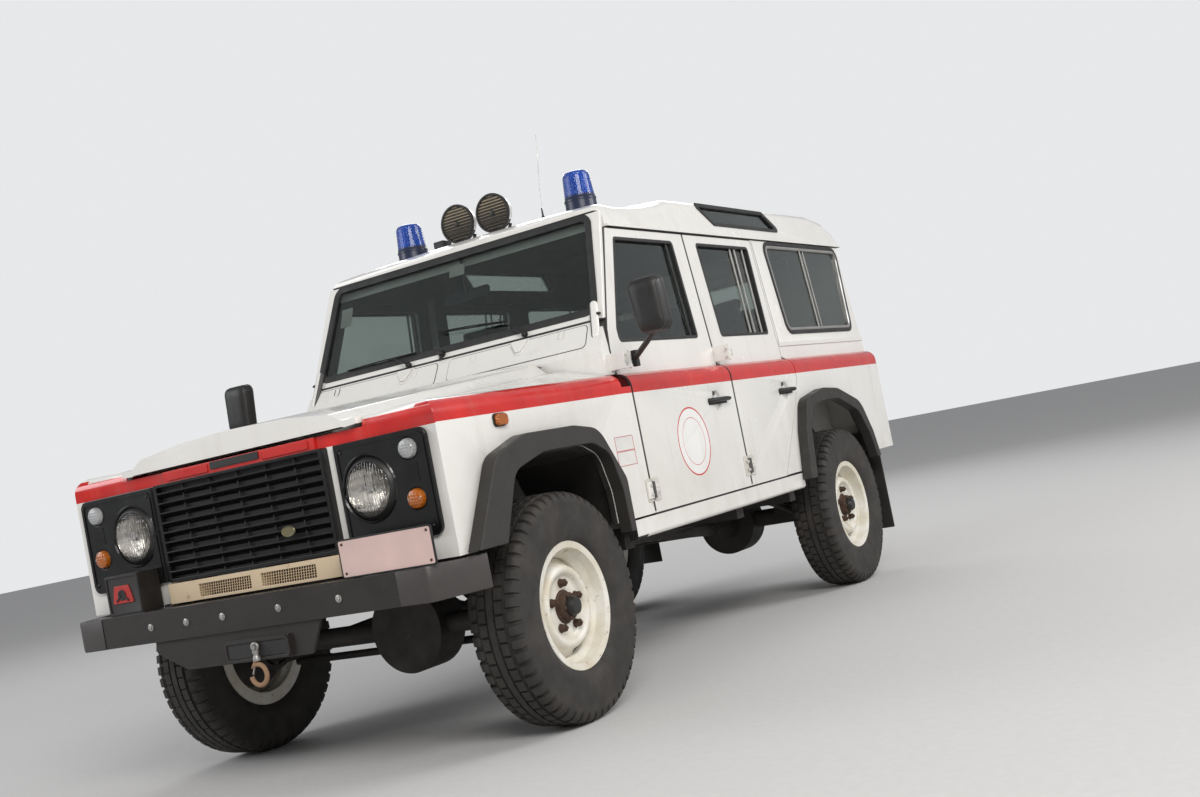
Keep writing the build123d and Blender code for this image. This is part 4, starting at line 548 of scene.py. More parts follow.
def pipe(bm, line, radius, sides=8, closed=False, flat=1.0):
    """Round or flattened bar along a path; flat squeezes it across the path's own plane."""
    line = [Vector(p) for p in line]
    count = len(line)
    span = (line[-1] - line[0]).normalized()
    normal = Vector((0, 0, 0))
    for index in range(count):
        normal += line[index - 1].cross(line[index])
    if normal.length < 1e-9:
        normal = upwards.copy() if abs(span.z) < 0.9 else leftwards.copy()
    if not closed:
        normal = normal - span * normal.dot(span)
        if normal.length < 1e-6:
            normal = span.orthogonal()
    normal.normalize()
    rings = []
    for index, point in enumerate(line):
        following = line[(index + 1) % count] if closed or index < count - 1 else point
        behind = line[index - 1] if closed or index > 0 else point
        first = (point - behind).normalized() if (point - behind).length > 1e-9 else Vector((0, 0, 0))
        second = (following - point).normalized() if (following - point).length > 1e-9 else Vector((0, 0, 0))
        along = (first + second).normalized()
        out = along.cross(normal)
        if out.length < 1e-6:
            out = along.orthogonal()
        out.normalize()
        up = out.cross(along).normalized()
        spread = 1.0
        if first.length and second.length:
            spread = min(2.0, 1 / max(0.3, math.cos(first.angle(second) / 2)))
        angles = [2 * math.pi * (side + 0.5) / sides for side in range(sides)]
        rings.append(points(bm, [point + out * (math.cos(a) * radius * spread) + up * (math.sin(a) * radius * flat)
                                 for a in angles]))
    skin(bm, rings + rings[:1] if closed else rings)
    if not closed:
        bm.faces.new(list(reversed(rings[0])))
        bm.faces.new(rings[-1])


def rect(low_a, low_b, high_a, high_b):
    """Corners of an upright or flat oblong."""
    return ((low_a, low_b), (high_a, low_b), (high_a, high_b), (low_a, high_b))


def rounded(corners, radius, steps=5):
    """Closed outline through flat corner points, each corner turned by an arc."""
    corners = [Vector(c) for c in corners]
    out = []
    for index, corner in enumerate(corners):
        before = (corners[index - 1] - corner)
        after = (corners[(index + 1) % len(corners)] - corner)
        half = before.angle(after) / 2
        reach = min(radius / math.tan(half), before.length * 0.49, after.length * 0.49)
        bulge = reach * math.tan(half)
        a, b = corner + before.normalized() * reach, corner + after.normalized() * reach
        centre = corner + (before.normalized() + after.normalized()).normalized() * (bulge / math.sin(half))
        for step in range(steps + 1):
            ray = (a - centre).lerp(b - centre, step / steps)
            out.append(centre + ray.normalized() * bulge)
    return out


def inset(corners, distance):
    """Flat outline with every straight side moved inwards, or outwards if negative."""
    corners = [Vector(c) for c in corners]
    count = len(corners)
    area = sum(corners[i - 1].x * corners[i].y - corners[i].x * corners[i - 1].y for i in range(count))
    sign = 1 if area > 0 else -1
    out = []
    for index, corner in enumerate(corners):
        before = (corner - corners[index - 1]).normalized()
        after = (corners[(index + 1) % count] - corner).normalized()
        first = Vector((-before.y, before.x)) * sign
        second = Vector((-after.y, after.x)) * sign
        out.append(corner + (first + second) * (distance / (1 + first.dot(second))))
    return out


def prism(bm, outline, thickness):
    """Closed plate: the outline and its copy moved by the thickness vector."""
    low = points(bm, outline)
    high = points(bm, [Vector(p) + Vector(thickness) for p in outline])
    bm.faces.new(low)
    bm.faces.new(list(reversed(high)))
    skin(bm, [low, high])


def ring_plate(bm, y, outer, inner, thickness):
    """Upright frame across the vehicle between two outlines with as many points."""
    loops = [points(bm, [Vector((p.x, y + shift, p.y)) for p in line])
             for line in (outer, inner) for shift in (0, thickness)]
    outer_low, outer_high, inner_low, inner_high = loops
    skin(bm, [outer_low, inner_low, inner_high, outer_high, outer_low])


def flat_panel(bm, corners, radius, place, low, high):
    """Plate with rounded corners between two distances off its plane."""
    line = rounded(corners, radius)
    bottom, top = (points(bm, [place(p.x, p.y, off) for p in line]) for off in (low, high))
    bm.faces.new(list(reversed(bottom)))
    bm.faces.new(top)
    skin(bm, [bottom, top])


def facing(u):
    """Place on an upright plane across the vehicle, or in front of it by a distance."""
    return lambda x, z, out: Vector((x, back(u) - out, z))


def beside(y, z, out):
    """Place on the lower side wall, or off it by a distance."""
    return Vector((side_x + out, y, z))


def dome_bolt(bm, place, axis, radius=0.006, height=0.004, steps=10):
    """Low round head."""
    lathe(bm, [(radius, 0), (radius * 0.9, height * 0.7), (radius * 0.5, height), (0, height)], place, axis, steps)


def hex_nut(bm, place, axis, radius, height):
    lathe(bm, [(radius, 0), (radius, height * 0.85), (radius * 0.86, height), (radius * 0.5, height), (0, height)],
          place, axis, 6)


def dressed(node, material, bevel, shape=None):
    """Copy of a CAD piece with its flat facets joined, or shaped instead, and its edges rounded."""
    source = cad_nodes[node]
    bm = bmesh.new()
    bm.from_mesh(source.data)
    bmesh.ops.remove_doubles(bm, verts=bm.verts, dist=2e-5)
    if shape:
        shape(bm)
    else:
        bmesh.ops.dissolve_limit(bm, angle_limit=math.radians(0.8), verts=bm.verts, edges=bm.edges)
    slot = next(s["material_slot"] for s in frame["record"]["subparts"] if s["node"] == node)
    obj = finish_piece(node + "_skin", bm, material, body_of(source)[0], slot, sharp=32.0, bevel=bevel)
    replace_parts(obj, node)


# Camera and light
def photo_camera():
    """Camera at the photograph's place, solved from the vehicle's own sizes."""
    yaw, pitch, roll = (math.radians(a) for a in (30.2, 2.42, -11.12))
    focal_pixels, frame_width, frame_height = 1399.4, 1200, 797
    centre_x, centre_y = 592.8, 399.8
    forward = Vector((-math.sin(yaw) * math.cos(pitch), math.cos(yaw) * math.cos(pitch), math.sin(pitch)))
    level = Vector((math.cos(yaw), math.sin(yaw), 0))
    upright = level.cross(forward)
    right = level * math.cos(roll) + upright * math.sin(roll)
    up = upright * math.cos(roll) - level * math.sin(roll)
    data = bpy.data.cameras.new("photo_camera")
    data.sensor_width = 36.0
    data.lens = focal_pixels * data.sensor_width / frame_width
    data.shift_x = (frame_width / 2 - centre_x) / frame_width
    data.shift_y = (centre_y - frame_height / 2) / frame_width
    data.clip_end = 200.0
    camera = bpy.data.objects.new("photo_camera", data)
    bpy.context.scene.collection.objects.link(camera)
    turn = Matrix((right, up, -forward)).transposed().to_4x4()
    camera.matrix_world = Matrix.Translation(Vector((3.429, back(-4.092), 0.879))) @ turn
    bpy.context.scene.camera = camera


def floor():
    """Plain pale floor."""
    bm = bmesh.new()
    bmesh.ops.create_grid(bm, x_segments=1, y_segments=1, size=60)
    mesh = bpy.data.meshes.new("floor")
    bm.to_mesh(mesh)
    bm.free()
    obj = bpy.data.objects.new("floor", mesh)
    bpy.context.scene.collection.objects.link(obj)
    shader = Shader("floor_plain", (0.62, 0.61, 0.6), 0.85)
    grain = shader.blots(30.0, 5.0)
    shader.set(Base_Color=shader.mix(grain, (0.62, 0.61, 0.6), (0.59, 0.58, 0.57)))
    mesh.materials.append(shader.material)
    obj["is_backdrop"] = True


def lamp(name, place, target, size, power, colour=(1, 1, 1)):
    data = bpy.data.lights.new(name, "AREA")
    data.shape = "RECTANGLE"
    data.size, data.size_y = size
    data.energy = power
    data.color = colour
    obj = bpy.data.objects.new(name, data)
    bpy.context.scene.collection.objects.link(obj)
    obj.location = place
    obj.rotation_mode = "QUATERNION"
    obj.rotation_quaternion = (Vector(target) - Vector(place)).to_track_quat("-Z", "Y")


def lights():
    """Soft studio light from all sides, and a pale backdrop for camera rays and rays through glass."""
    world = bpy.data.worlds.new("studio")
    bpy.context.scene.world = world
    world.use_nodes = True
    nodes, links = world.node_tree.nodes, world.node_tree.links
    shade = nodes["Background"]
    shade.inputs["Color"].default_value = (0.9, 0.92, 0.95, 1)
    shade.inputs["Strength"].default_value = 0.42
    seen = nodes.new("ShaderNodeBackground")
    seen.inputs["Color"].default_value = (0.8, 0.81, 0.82, 1)
    path = nodes.new("ShaderNodeLightPath")
    either = nodes.new("ShaderNodeMath")
    either.operation = "MAXIMUM"
    links.new(path.outputs["Is Camera Ray"], either.inputs[0])
    links.new(path.outputs["Is Transmission Ray"], either.inputs[1])
    mix = nodes.new("ShaderNodeMixShader")
    links.new(either.outputs[0], mix.inputs[0])
    links.new(shade.outputs[0], mix.inputs[1])
    links.new(seen.outputs[0], mix.inputs[2])
    links.new(mix.outputs[0], nodes["World Output"].inputs["Surface"])
    lamp("key", (6.5, -7.5, 6.0), (0, -0.6, 0.9), (5, 3), 620, (1.0, 0.98, 0.95))
    lamp("fill", (-7.0, -6.0, 4.5), (0, -0.5, 1.0), (5, 4), 260, (0.95, 0.97, 1.0))
    lamp("side", (8.0, 3.5, 5.0), (0, 0.8, 1.0), (5, 3), 380)
    lamp("back", (-4.0, 8.0, 6.0), (0, 1.0, 1.2), (6, 3), 210)


photo_camera()
floor()
lights()
bpy.context.scene.view_settings.view_transform = "Standard"

# Wheels and tyres
tread_pitches = 54
groove_depth = 0.011
# columns: place across from the tyre's middle, radius, zone of the tread
tyre_profile = (
    (-0.0757, 0.2035, 0), (-0.0757, 0.221, 0), (-0.086, 0.229, 0), (-0.0965, 0.248, 0), (-0.101, 0.275, 0),
    (-0.103, 0.305, 0), (-0.1024, 0.333, 0), (-0.1005, 0.352, 0), (-0.1012, 0.356, 0), (-0.1, 0.369, 6),
    (-0.0975, 0.378, 1), (-0.0915, 0.3885, 1), (-0.08, 0.3955, 1), (-0.064, 0.3978, 1), (-0.056, 0.3984, 2),
    (-0.049, 0.3986, 2), (-0.048, 0.3987, 3), (-0.02, 0.3996, 3), (-0.019, 0.3996, 4), (-0.013, 0.3997, 4),
    (-0.012, 0.3998, 5), (0.012, 0.3998, 5),
)
# where each pitch of the tread has its rows of points, and for each zone how deep and at which of them it is grooved
pitch_shares = (0.0, 0.06, 0.34, 0.36, 0.5, 0.52, 0.56, 0.84, 0.86)
zones = {0: (0.0, ()), 1: (1.0, (1, 2)), 2: (0.8, range(9)), 3: (0.8, (4, 5)), 4: (0.8, range(9)), 5: (0.6, (7, 8)),
         6: (0.55, (1, 2))}


def tyre_mesh(bm, place, axis):
    """Closed ring whose shoulder lugs and centre blocks are cut by grooves."""
    rows = [(*row, 0.0) for row in tyre_profile]
    rows += [(-x, r, zone, math.pi / tread_pitches) for x, r, zone in reversed(tyre_profile)]
    spin = turn_to(axis)
    rings = []
    for across, radius, zone, shift in rows:
        depth, cells = zones[zone]
        ring = []
        for step in range(tread_pitches * len(pitch_shares)):
            pitch, cell = divmod(step, len(pitch_shares))
            angle = 2 * math.pi * (pitch + pitch_shares[cell]) / tread_pitches + shift
            reach = radius - (groove_depth * depth if cell in cells else 0.0)
            ring.append(Vector(place) + spin @ Vector((math.cos(angle) * reach, math.sin(angle) * reach, across)))
        rings.append(points(bm, ring))
    skin(bm, rings + rings[:1])


# columns: radius, place along the axle outwards from the rim's middle
rim_profile = (
    (0.175, -0.078), (0.1985, -0.0815), (0.2205, -0.0815), (0.2225, -0.078), (0.204, -0.0745), (0.203, -0.048),
    (0.18, -0.032), (0.18, 0.016), (0.203, 0.036), (0.2035, 0.0745), (0.2225, 0.0775), (0.2235, 0.0805),
    (0.2215, 0.083), (0.215, 0.0815), (0.2, 0.079), (0.197, 0.074), (0.1965, 0.042), (0.194, 0.036),
    (0.176, 0.02), (0.1745, 0.016), (0.1745, -0.03), (0.1965, -0.05), (0.1975, -0.076), (0.175, -0.078),
)
disc_profile = (
    (0.175, 0.0), (0.172, 0.006), (0.16, 0.0135), (0.153, 0.0215), (0.148, 0.034), (0.143, 0.045),
    (0.137, 0.0515), (0.129, 0.054), (0.121, 0.0525), (0.113, 0.046), (0.108, 0.039), (0.102, 0.035),
    (0.092, 0.0335), (0.06, 0.0335), (0.058, 0.031), (0.058, 0.025),
)
disc_thickness, disc_face = 0.005, 0.0335
nut_circle, bolt_circle = 0.0825, 0.0405
wheel_steps, slot_count = 96, 4
nut_seat = ((0.0165, 0), (0.016, 0.004), (0.0135, 0.006))


def wheel_mesh(bm, place, axis):
    """Drop-centre rim and domed disc, with narrow slots where the two meet."""
    def slotted(row, step):
        return row in (1, 2) and step % (wheel_steps // slot_count) in range(3, 9)

    lathe(bm, rim_profile, place, axis, wheel_steps)
    lathe(bm, disc_profile, place, axis, wheel_steps, slotted)
    lathe(bm, [(r, h - disc_thickness) for r, h in disc_profile], place, axis, wheel_steps, slotted)


def round_axle(place, axis, count, radius, height, offset):
    """Places evenly round a wheel's axis, at a height along it."""
    angles = [2 * math.pi * (index + offset) / count for index in range(count)]
    return [Vector(place) + turn_to(axis) @ Vector((radius * math.cos(a), radius * math.sin(a), height))
            for a in angles]


def hub_mesh(bm, place, axis):
    """Hub flange with its ring of bolts."""
    lathe(bm, [(0.0575, 0.02), (0.0575, 0.036), (0.0535, 0.04), (0.05, 0.04), (0.049, 0.046), (0.049, 0.056),
               (0.047, 0.059), (0.034, 0.06)], place, axis, 36)
    for spot in round_axle(place, axis, 5, bolt_circle, 0.059, 0.5):
        hex_nut(bm, spot, axis, 0.0085, 0.007)


def nuts_mesh(bm, place, axis):
    """Five coned wheel nuts on their studs."""
    for spot in round_axle(place, axis, 5, nut_circle, disc_face - 0.0005, 0.25):
        lathe(bm, nut_seat, spot, axis, 20)
        hex_nut(bm, spot + Vector(axis) * 0.004, axis, 0.0145, 0.019)
        lathe(bm, [(0.0065, 0.0), (0.0065, 0.028), (0.005, 0.03), (0, 0.03)], spot, axis, 12)


cap_profile = ((0.0345, 0.058), (0.0345, 0.07), (0.0325, 0.078), (0.029, 0.0855), (0.02, 0.0865), (0, 0.0868))
brake_profile = ((0.05, -0.038), (0.148, -0.038), (0.148, -0.024), (0.052, -0.024), (0.052, 0.02))


def dress_wheel(tag, place, axis, body):
    """Wheel and tyre in place of their plain solids."""
    wheel = piece(f"wheel_steel_{tag}", wheel_white, (wheel_mesh, place, axis), body=body, slot="wheel_paint", sharp=40)
    tyre = piece(f"tyre_tread_{tag}", tyre_black, (tyre_mesh, place, axis), body=body, slot="tyre", sharp=38)
    return wheel, tyre


for word, side, y in (("front_left", 1, front_axle_y), ("front_right", -1, front_axle_y),
                      ("rear_left", 1, rear_axle_y), ("rear_right", -1, rear_axle_y)):
    place, axis, body = (side * wheel_x, y, hub_z), (side, 0, 0), f"wheel_{word}"
    wheel, tyre = dress_wheel(word, place, axis, body)
    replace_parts(wheel, f"wheel_{word}")
    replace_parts(tyre, f"tyre_{word}")
    piece(f"hub_flange_{word}", rust, (hub_mesh, place, axis), body=body)
    piece(f"wheel_nuts_{word}", rust, (nuts_mesh, place, axis), body=body)
    piece(f"hub_cap_{word}", black_plastic, (lathe, cap_profile, place, axis, 32), body=body, slot="axle_iron")
    piece(f"brake_disc_{word}", dark_iron, (lathe, brake_profile, place, axis, 48), body=body, slot="axle_iron")
spare_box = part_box("spare_wheel")
spare_place = (spare_box[0] + spare_box[1]) / 2
wheel, tyre = dress_wheel("spare", spare_place, (0, 1, 0), "tail_door")
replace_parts(wheel, "spare_wheel")
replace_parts(tyre, "spare_tyre")

# Body panels from the CAD pieces, with rounded edges
for node, material, width in (
    ("bonnet", bonnet_white, 0.005), ("side_panels", white, 0.003), ("front_door_left", white, 0.003),
    ("front_door_right", white, 0.003), ("rear_door_left", white, 0.003), ("rear_door_right", white, 0.003),
    ("tail_door", white, 0.003), ("bulkhead", white, 0.003), ("windscreen_frame", white, 0.004),
    ("cab_floor", white, 0.003), ("front_bumper", bumper_paint, 0.006), ("lamp_surrounds", gloss_black, 0.004),
    ("arch_flares", flare_plastic, 0.014), ("dashboard", black_plastic, 0.01),
    ("chassis_frame", chassis_paint, 0.004), ("fuel_tank", chassis_paint, 0.008),
):
    dressed(node, material, width)

# columns: behind the front axle, how far the roof falls away there towards its front edge
roof_drops = ((0.88, 0.0), (0.9, 0.006), (0.95, 0.03), (1.0, 0.05), (1.1, 0.06), (1.2, 0.062),
              (1.35, 0.052), (1.5, 0.033), (1.62, 0.012), (1.7, 0.0))
# the roof's side keeps its place below this height and takes the whole drop from this much further up
drop_foot_z, drop_rise = 1.86, 0.12


def roof_drop(y):
    place = y - front_axle_y
    for (first, low), (second, high) in zip(roof_drops, roof_drops[1:]):
        if first <= place <= second:
            return low + (high - low) * (place - first) / (second - first)
    return 0.0


def shape_roof(bm):
    """Cuts the roof across where the drop bends, then lowers it."""
    for place in (0.95, 1.05, 1.1, 1.275, 1.35, 1.425, 1.5, 1.56, 1.62):
        geometry = bm.verts[:] + bm.edges[:] + bm.faces[:]
        bmesh.ops.bisect_plane(bm, geom=geometry, plane_co=(0, back(place), 0), plane_no=(0, 1, 0))
    for vert in bm.verts:
        vert.co.z -= roof_drop(vert.co.y) * min(1.0, max(0.0, (vert.co.z - drop_foot_z) / drop_rise))


dressed("roof", white, 0.004, shape=shape_roof)
# these keep all their facets
for node, width in (("front_panel", 0.0015), ("rear_tub", 0.003), ("wing_left", 0.004), ("wing_right", 0.004)):
    dressed(node, white, width, shape=lambda bm: None)
for node, material in (
    ("fixed_glass", window_glass), ("front_glass_left", window_glass), ("front_glass_right", window_glass),
    ("rear_glass_left", window_glass), ("rear_glass_right", window_glass), ("tail_glass", window_glass),
    ("front_axle", chassis_paint), ("rear_axle", chassis_paint), ("knuckle_left", dark_iron),
    ("knuckle_right", dark_iron), ("track_rod", chassis_paint), ("powertrain", dark_iron),
):
    mesh = cad_nodes[node].data
    mesh.materials.clear()
    mesh.materials.append(material)


# Details
def wall_x(z):
    """Half width of the body's outer side at height z."""
    if z >= shoulder_z:
        return upper_x(z)
    if z <= waist_z:
        return side_x
    radius = side_x - shoulder_x
    return shoulder_x + math.sqrt(radius ** 2 - (z - waist_z) ** 2)


def on_wall(u, z, out=0.0):
    """Point on the left side wall, or off it by a distance."""
    return Vector((wall_x(z) + out, back(u), z))


def seal(bm, corners, radius, lap, lip, lift, depth, place, out):
    """Rubber round an opening: it laps over the panel, hides its edge and grips the pane."""
    outer, middle, inner = ([place(p) for p in rounded(inset(corners, step), turn)] for step, turn in
                            ((-lap, radius + lap), ((lip - lap) / 2, radius), (lip, max(0.004, radius - lip))))
    out = Vector(out)
    rows = ((outer, 0.0), (outer, lift * 0.8), (middle, lift), (inner, lift * 0.4), (inner, -depth), (middle, -depth))
    loops = [points(bm, [p + out * off for p in line]) for line, off in rows]
    skin(bm, loops + loops[:1])


def wall_place(point):
    return Vector((wall_x(point.y), point.x, point.y))


def uz(corners):
    """Side-view corners given back from the front axle."""
    return [(back(u), z) for u, z in corners]


front_window = uz(((0.772, 1.32), (1.481, 1.32), (1.475, 1.76), (0.948, 1.76), (0.772, 1.372)))
rear_window = uz(((1.728, 1.32), (2.27, 1.32), (2.298, 1.76), (1.718, 1.76)))
side_window = uz(((2.535, 1.328), (3.454, 1.328), (3.537, 1.783), (2.511, 1.783)))
front_bodies = ("front_door_left", "front_door_right")
rear_bodies = ("rear_door_left", "rear_door_right")
fixed_bodies = ("body", "body")
# columns: name, window, material, bodies, then the seal's radius, lap, lip, lift and depth
for name, window, material, bodies, *shape in (
    ("front_window_seal", front_window, rubber, front_bodies, 0.018, 0.003, 0.01, 0.0025, 0.02),
    ("rear_window_seal", rear_window, rubber, rear_bodies, 0.018, 0.003, 0.01, 0.0025, 0.02),
    ("side_window_seal", side_window, rubber, fixed_bodies, 0.045, 0.016, 0.004, 0.007, 0.012),
    ("side_window_frame", side_window, alloy, fixed_bodies, 0.045, -0.004, 0.018, 0.006, 0.01),
):
    both_sides(name, material, (seal, window, *shape, wall_place, leftwards), bodies=bodies)


def bar_up(bm, u_low, u_high, z_low, z_high, width, depth, out):
    """Upright channel that lies against the inside or outside of a side window."""
    low, high = (points(bm, [Vector((wall_x(z) + out + dx, back(u) + dy, z)) for dx, dy in
                             ((0, -width / 2), (0, width / 2), (-depth, width / 2), (-depth, -width / 2))])
                 for u, z in ((u_low, z_low), (u_high, z_high)))
    bm.faces.new(low)
    bm.faces.new(list(reversed(high)))
    skin(bm, [low, high])


both_sides("front_window_bar", rubber, (bar_up, 1.432, 1.428, 1.322, 1.758, 0.012, 0.008, -0.006),
           bodies=front_bodies, bevel=0.002)
both_sides("rear_window_bars", alloy,
           *((bar_up, low, high, 1.322, 1.758, 0.013, 0.008, -0.006)
             for low, high in ((2.088, 2.104), (2.138, 2.156), (2.222, 2.246))), bodies=rear_bodies, bevel=0.002)
both_sides("side_window_bars", alloy, (bar_up, 2.985, 2.998, 1.342, 1.77, 0.016, 0.007, 0.001),
           (bar_up, 3.035, 3.05, 1.342, 1.77, 0.01, 0.007, -0.002), bevel=0.002)

# Windscreen: raked plane, its rubber, the wipers and what sits under it
screen_u, screen_z, screen_rake = 0.69, 1.418, 0.437
rake_out = Vector((0, -1, screen_rake)).normalized()


def on_screen(x, z, out=0.0):
    """Point on the windscreen frame's front face at height z."""
    return Vector((x, back(screen_u) + screen_rake * (z - screen_z), z)) + rake_out * out


screen_corners = ((-0.7316, 1.4503), (0.7316, 1.4503), (0.6805, 1.865), (-0.6805, 1.865))
piece("windscreen_seal", rubber,
      (seal, screen_corners, 0.045, 0.009, 0.02, 0.006, 0.01, lambda p: on_screen(p.x, p.y), rake_out))
piece("screen_foot_seal", rubber,
      (pipe, [on_screen(-0.755, 1.4165, 0.001), on_screen(0.755, 1.4165, 0.001)], 0.0045, 8))

# columns: pivot, elbow and the blade's two ends, each across and height
wiper_rows = (
    ("left", (0.393, 1.429), (0.262, 1.515), (-0.059, 1.534), (0.294, 1.504)),
    ("right", (-0.211, 1.424), (-0.3, 1.469), (-0.56, 1.4685), (-0.175, 1.4695)),
)
for word, pivot, elbow, first, second in wiper_rows:
    bend = on_screen(pivot[0] + (elbow[0] - pivot[0]) * 0.35, pivot[1] + (elbow[1] - pivot[1]) * 0.35, 0.028)
    tip = on_screen(*elbow, 0.016)
    line_a, line_b = on_screen(*first, 0.0125), on_screen(*second, 0.0125)
    clips = [line_a.lerp(line_b, share) for share in (0.12, 0.38, 0.62, 0.88)]
    piece(f"wiper_{word}", black_plastic,
          (lathe, [(0.013, 0), (0.013, 0.01), (0.01, 0.016), (0.006, 0.019), (0, 0.019)], on_screen(*pivot, 0.004),
           rake_out, 20),
          (pipe, [on_screen(*pivot, 0.02), bend], 0.0075, 8, False, 0.5),
          (pipe, [bend, bend.lerp(tip, 0.5) + rake_out * 0.004, tip], 0.0038, 8, False, 0.6),
          (pipe, [line_a, line_a.lerp(line_b, 0.5) + rake_out * 0.006, line_b], 0.0042, 8, False, 0.6),
          (pipe, [on_screen(*first, 0.004), on_screen(*second, 0.004)], 0.0032, 6),
          *((pipe, [spot + rake_out * 0.003, spot - rake_out * 0.006], 0.0035, 6) for spot in clips), bevel=0.0006)
piece("screen_catch", black_plastic,
      (lathe, [(0.015, 0), (0.015, 0.01), (0.012, 0.022), (0.006, 0.026), (0, 0.026)], on_screen(-0.034, 1.437),
       rake_out, 20),
      (pipe, [on_screen(-0.034, 1.437, 0.01), on_screen(-0.034, 1.412, 0.012)], 0.009, 8, False, 0.7), bevel=0.001)


def capsule(bm, start, end, radius, across):
    """Rounded bar with domed ends, flattened across its length."""
    start, end, across = Vector(start), Vector(end), Vector(across).normalized()
    length = (end - start).length
    angles = [math.pi / 2 * step / 5 for step in range(6)]
    profile = [(0, -radius)] + [(radius * math.sin(a), -radius * math.cos(a)) for a in angles[1:]]
    profile += [(radius * math.cos(a), length + radius * math.sin(a)) for a in angles[:5]] + [(0, length + radius)]
    for ring in lathe(bm, profile, start, (end - start).normalized(), 20):
        for vert in ring:
            vert.co -= across * ((vert.co - start).dot(across)) * 0.35


both_sides("screen_hinge", white, (capsule, (0.722, back(0.706), 1.478), (0.737, back(0.652), 1.356), 0.019, rake_out))
both_sides("screen_hinge_stud", black_plastic,
           (lathe, [(0.007, 0), (0.007, 0.012), (0.0045, 0.013), (0.0045, 0.02), (0, 0.02)],
            (0.738, back(0.688), 1.44), (1, -0.1, 0), 12))

# The ventilator panel between bonnet and windscreen: two long flaps and the wiper boxes
vent_u, vent_z = 0.6, 1.29
vent_rake = (screen_u - vent_u) / (screen_z - vent_z)
vent_out = Vector((0, -1, vent_rake)).normalized()


def on_vent(x, z, out=0.0):
    return Vector((x, back(vent_u) + vent_rake * (z - vent_z), z)) + vent_out * out


press_outline = ((-0.013, 1.398), (-0.013, 1.374), (-0.006, 1.367), (0.006, 1.367), (0.013, 1.374), (0.013, 1.398))
for word, corners in (("left", ((0.014, 1.3155), (0.699, 1.3165), (0.694, 1.4045), (0.01, 1.4035))),
                      ("right", ((-0.731, 1.3165), (-0.052, 1.3155), (-0.052, 1.4035), (-0.716, 1.4045)))):
    piece(f"vent_gap_{word}", rubber, (flat_panel, inset(corners, -0.0025), 0.019, on_vent, -0.001, 0.0008))
    piece(f"vent_flap_{word}", white, (flat_panel, corners, 0.017, on_vent, 0.0, 0.003), bevel=0.0015)
    for end in (0.18, 0.82):
        x = corners[0][0] + (corners[1][0] - corners[0][0]) * end
        piece(f"vent_press_{word}_{int(end * 100)}", white,
              (pipe, [on_vent(x + dx, z, 0.004) for dx, z in press_outline], 0.0018, 6))
box_outline = ((-0.013, -0.036), (0.013, -0.036), (0.047, 0.008), (0.047, 0.026), (-0.047, 0.026), (-0.047, 0.008))
for word, x in (("left", 0.372), ("right", -0.225)):
    piece(f"wiper_box_{word}", white, *((flat_panel, [(x + dx * size, 1.384 + dz * size) for dx, dz in box_outline],
                                         0.008, on_vent, low, high)
                                        for size, low, high in ((1.0, 0.0, 0.007), (0.78, 0.006, 0.015))),
          bevel=0.004, segments=3)

# Blank stickers on the glass
for word, x, z, width, height in (("left_low", -0.62, 1.727, 0.062, 0.085), ("top", 0.0, 1.8, 0.08, 0.05)):
    corners = rect(x - width / 2, z - height / 2, x + width / 2, z + height / 2)
    piece(f"screen_sticker_{word}", sticker, (flat_panel, corners, 0.004, on_screen, -0.0155, -0.0145))

# Lamps at the front: ribbed glass, bowl, bulb and rubber ring
face_y = back(-0.6313)
lamp_x, lamp_z = 0.548, 0.927
# columns: name, material, steps round, profile
for name, material, steps, profile in (
    ("headlamp_glass", lamp_cut_glass, 48,
     ((0.0875, 0.0185), (0.085, 0.0225), (0.074, 0.0256), (0.056, 0.0278), (0.03, 0.029), (0, 0.0293))),
    ("headlamp_bowl", lamp_reflector, 48,
     ((0.0, 0.0035), (0.016, 0.004), (0.04, 0.006), (0.062, 0.01), (0.078, 0.015), (0.0865, 0.019))),
    ("headlamp_bulb", clear_lens, 20,
     ((0.016, 0.004), (0.016, 0.012), (0.012, 0.016), (0.006, 0.0185), (0, 0.019))),
    ("headlamp_ring", black_plastic, 56,
     ((0.1025, 0.0005), (0.1025, 0.008), (0.1, 0.0105), (0.095, 0.016), (0.0905, 0.0215),
      (0.087, 0.0225), (0.086, 0.0185), (0.0865, 0.0005))),
):
    made = both_sides(name, material, (lathe, profile, (lamp_x, back(-0.6175), lamp_z), ahead, steps))
    if name == "headlamp_glass":
        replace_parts(made[0], "headlamps")


def lamp_set(name, u, rows, axis, material, height=0.032):
    """Small lamps with base, lens and two screws on both sides of the vehicle."""
    radius = 0.0345
    lens_profile = [(radius_share * (radius - 0.002), z) for radius_share, z in
                    ((1.0, 0.006), (0.99, height * 0.55), (0.9, height * 0.8), (0.68, height * 0.94), (0.35, height),
                     (0, height))]
    base_profile = ((radius + 0.0015, 0), (radius + 0.0015, 0.009), (radius - 0.001, 0.012), (radius - 0.004, 0.01),
                    (radius - 0.004, 0.003), (0, 0.002))
    made = []
    for index, (x, z) in enumerate(rows):
        place = Vector((x, back(u), z))
        made += both_sides(f"{name}_lens_{index}", material, (lathe, lens_profile, place, axis, 36))
        both_sides(f"{name}_base_{index}", black_plastic, (lathe, base_profile, place, axis, 36))
        both_sides(f"{name}_screws_{index}", alloy,
                   *((dome_bolt, place + leftwards * (way * radius * 0.62) + axis * height * 0.9, axis, 0.0035, 0.002)
                     for way in (-1, 1)), slot="lamp_glass")
    return made


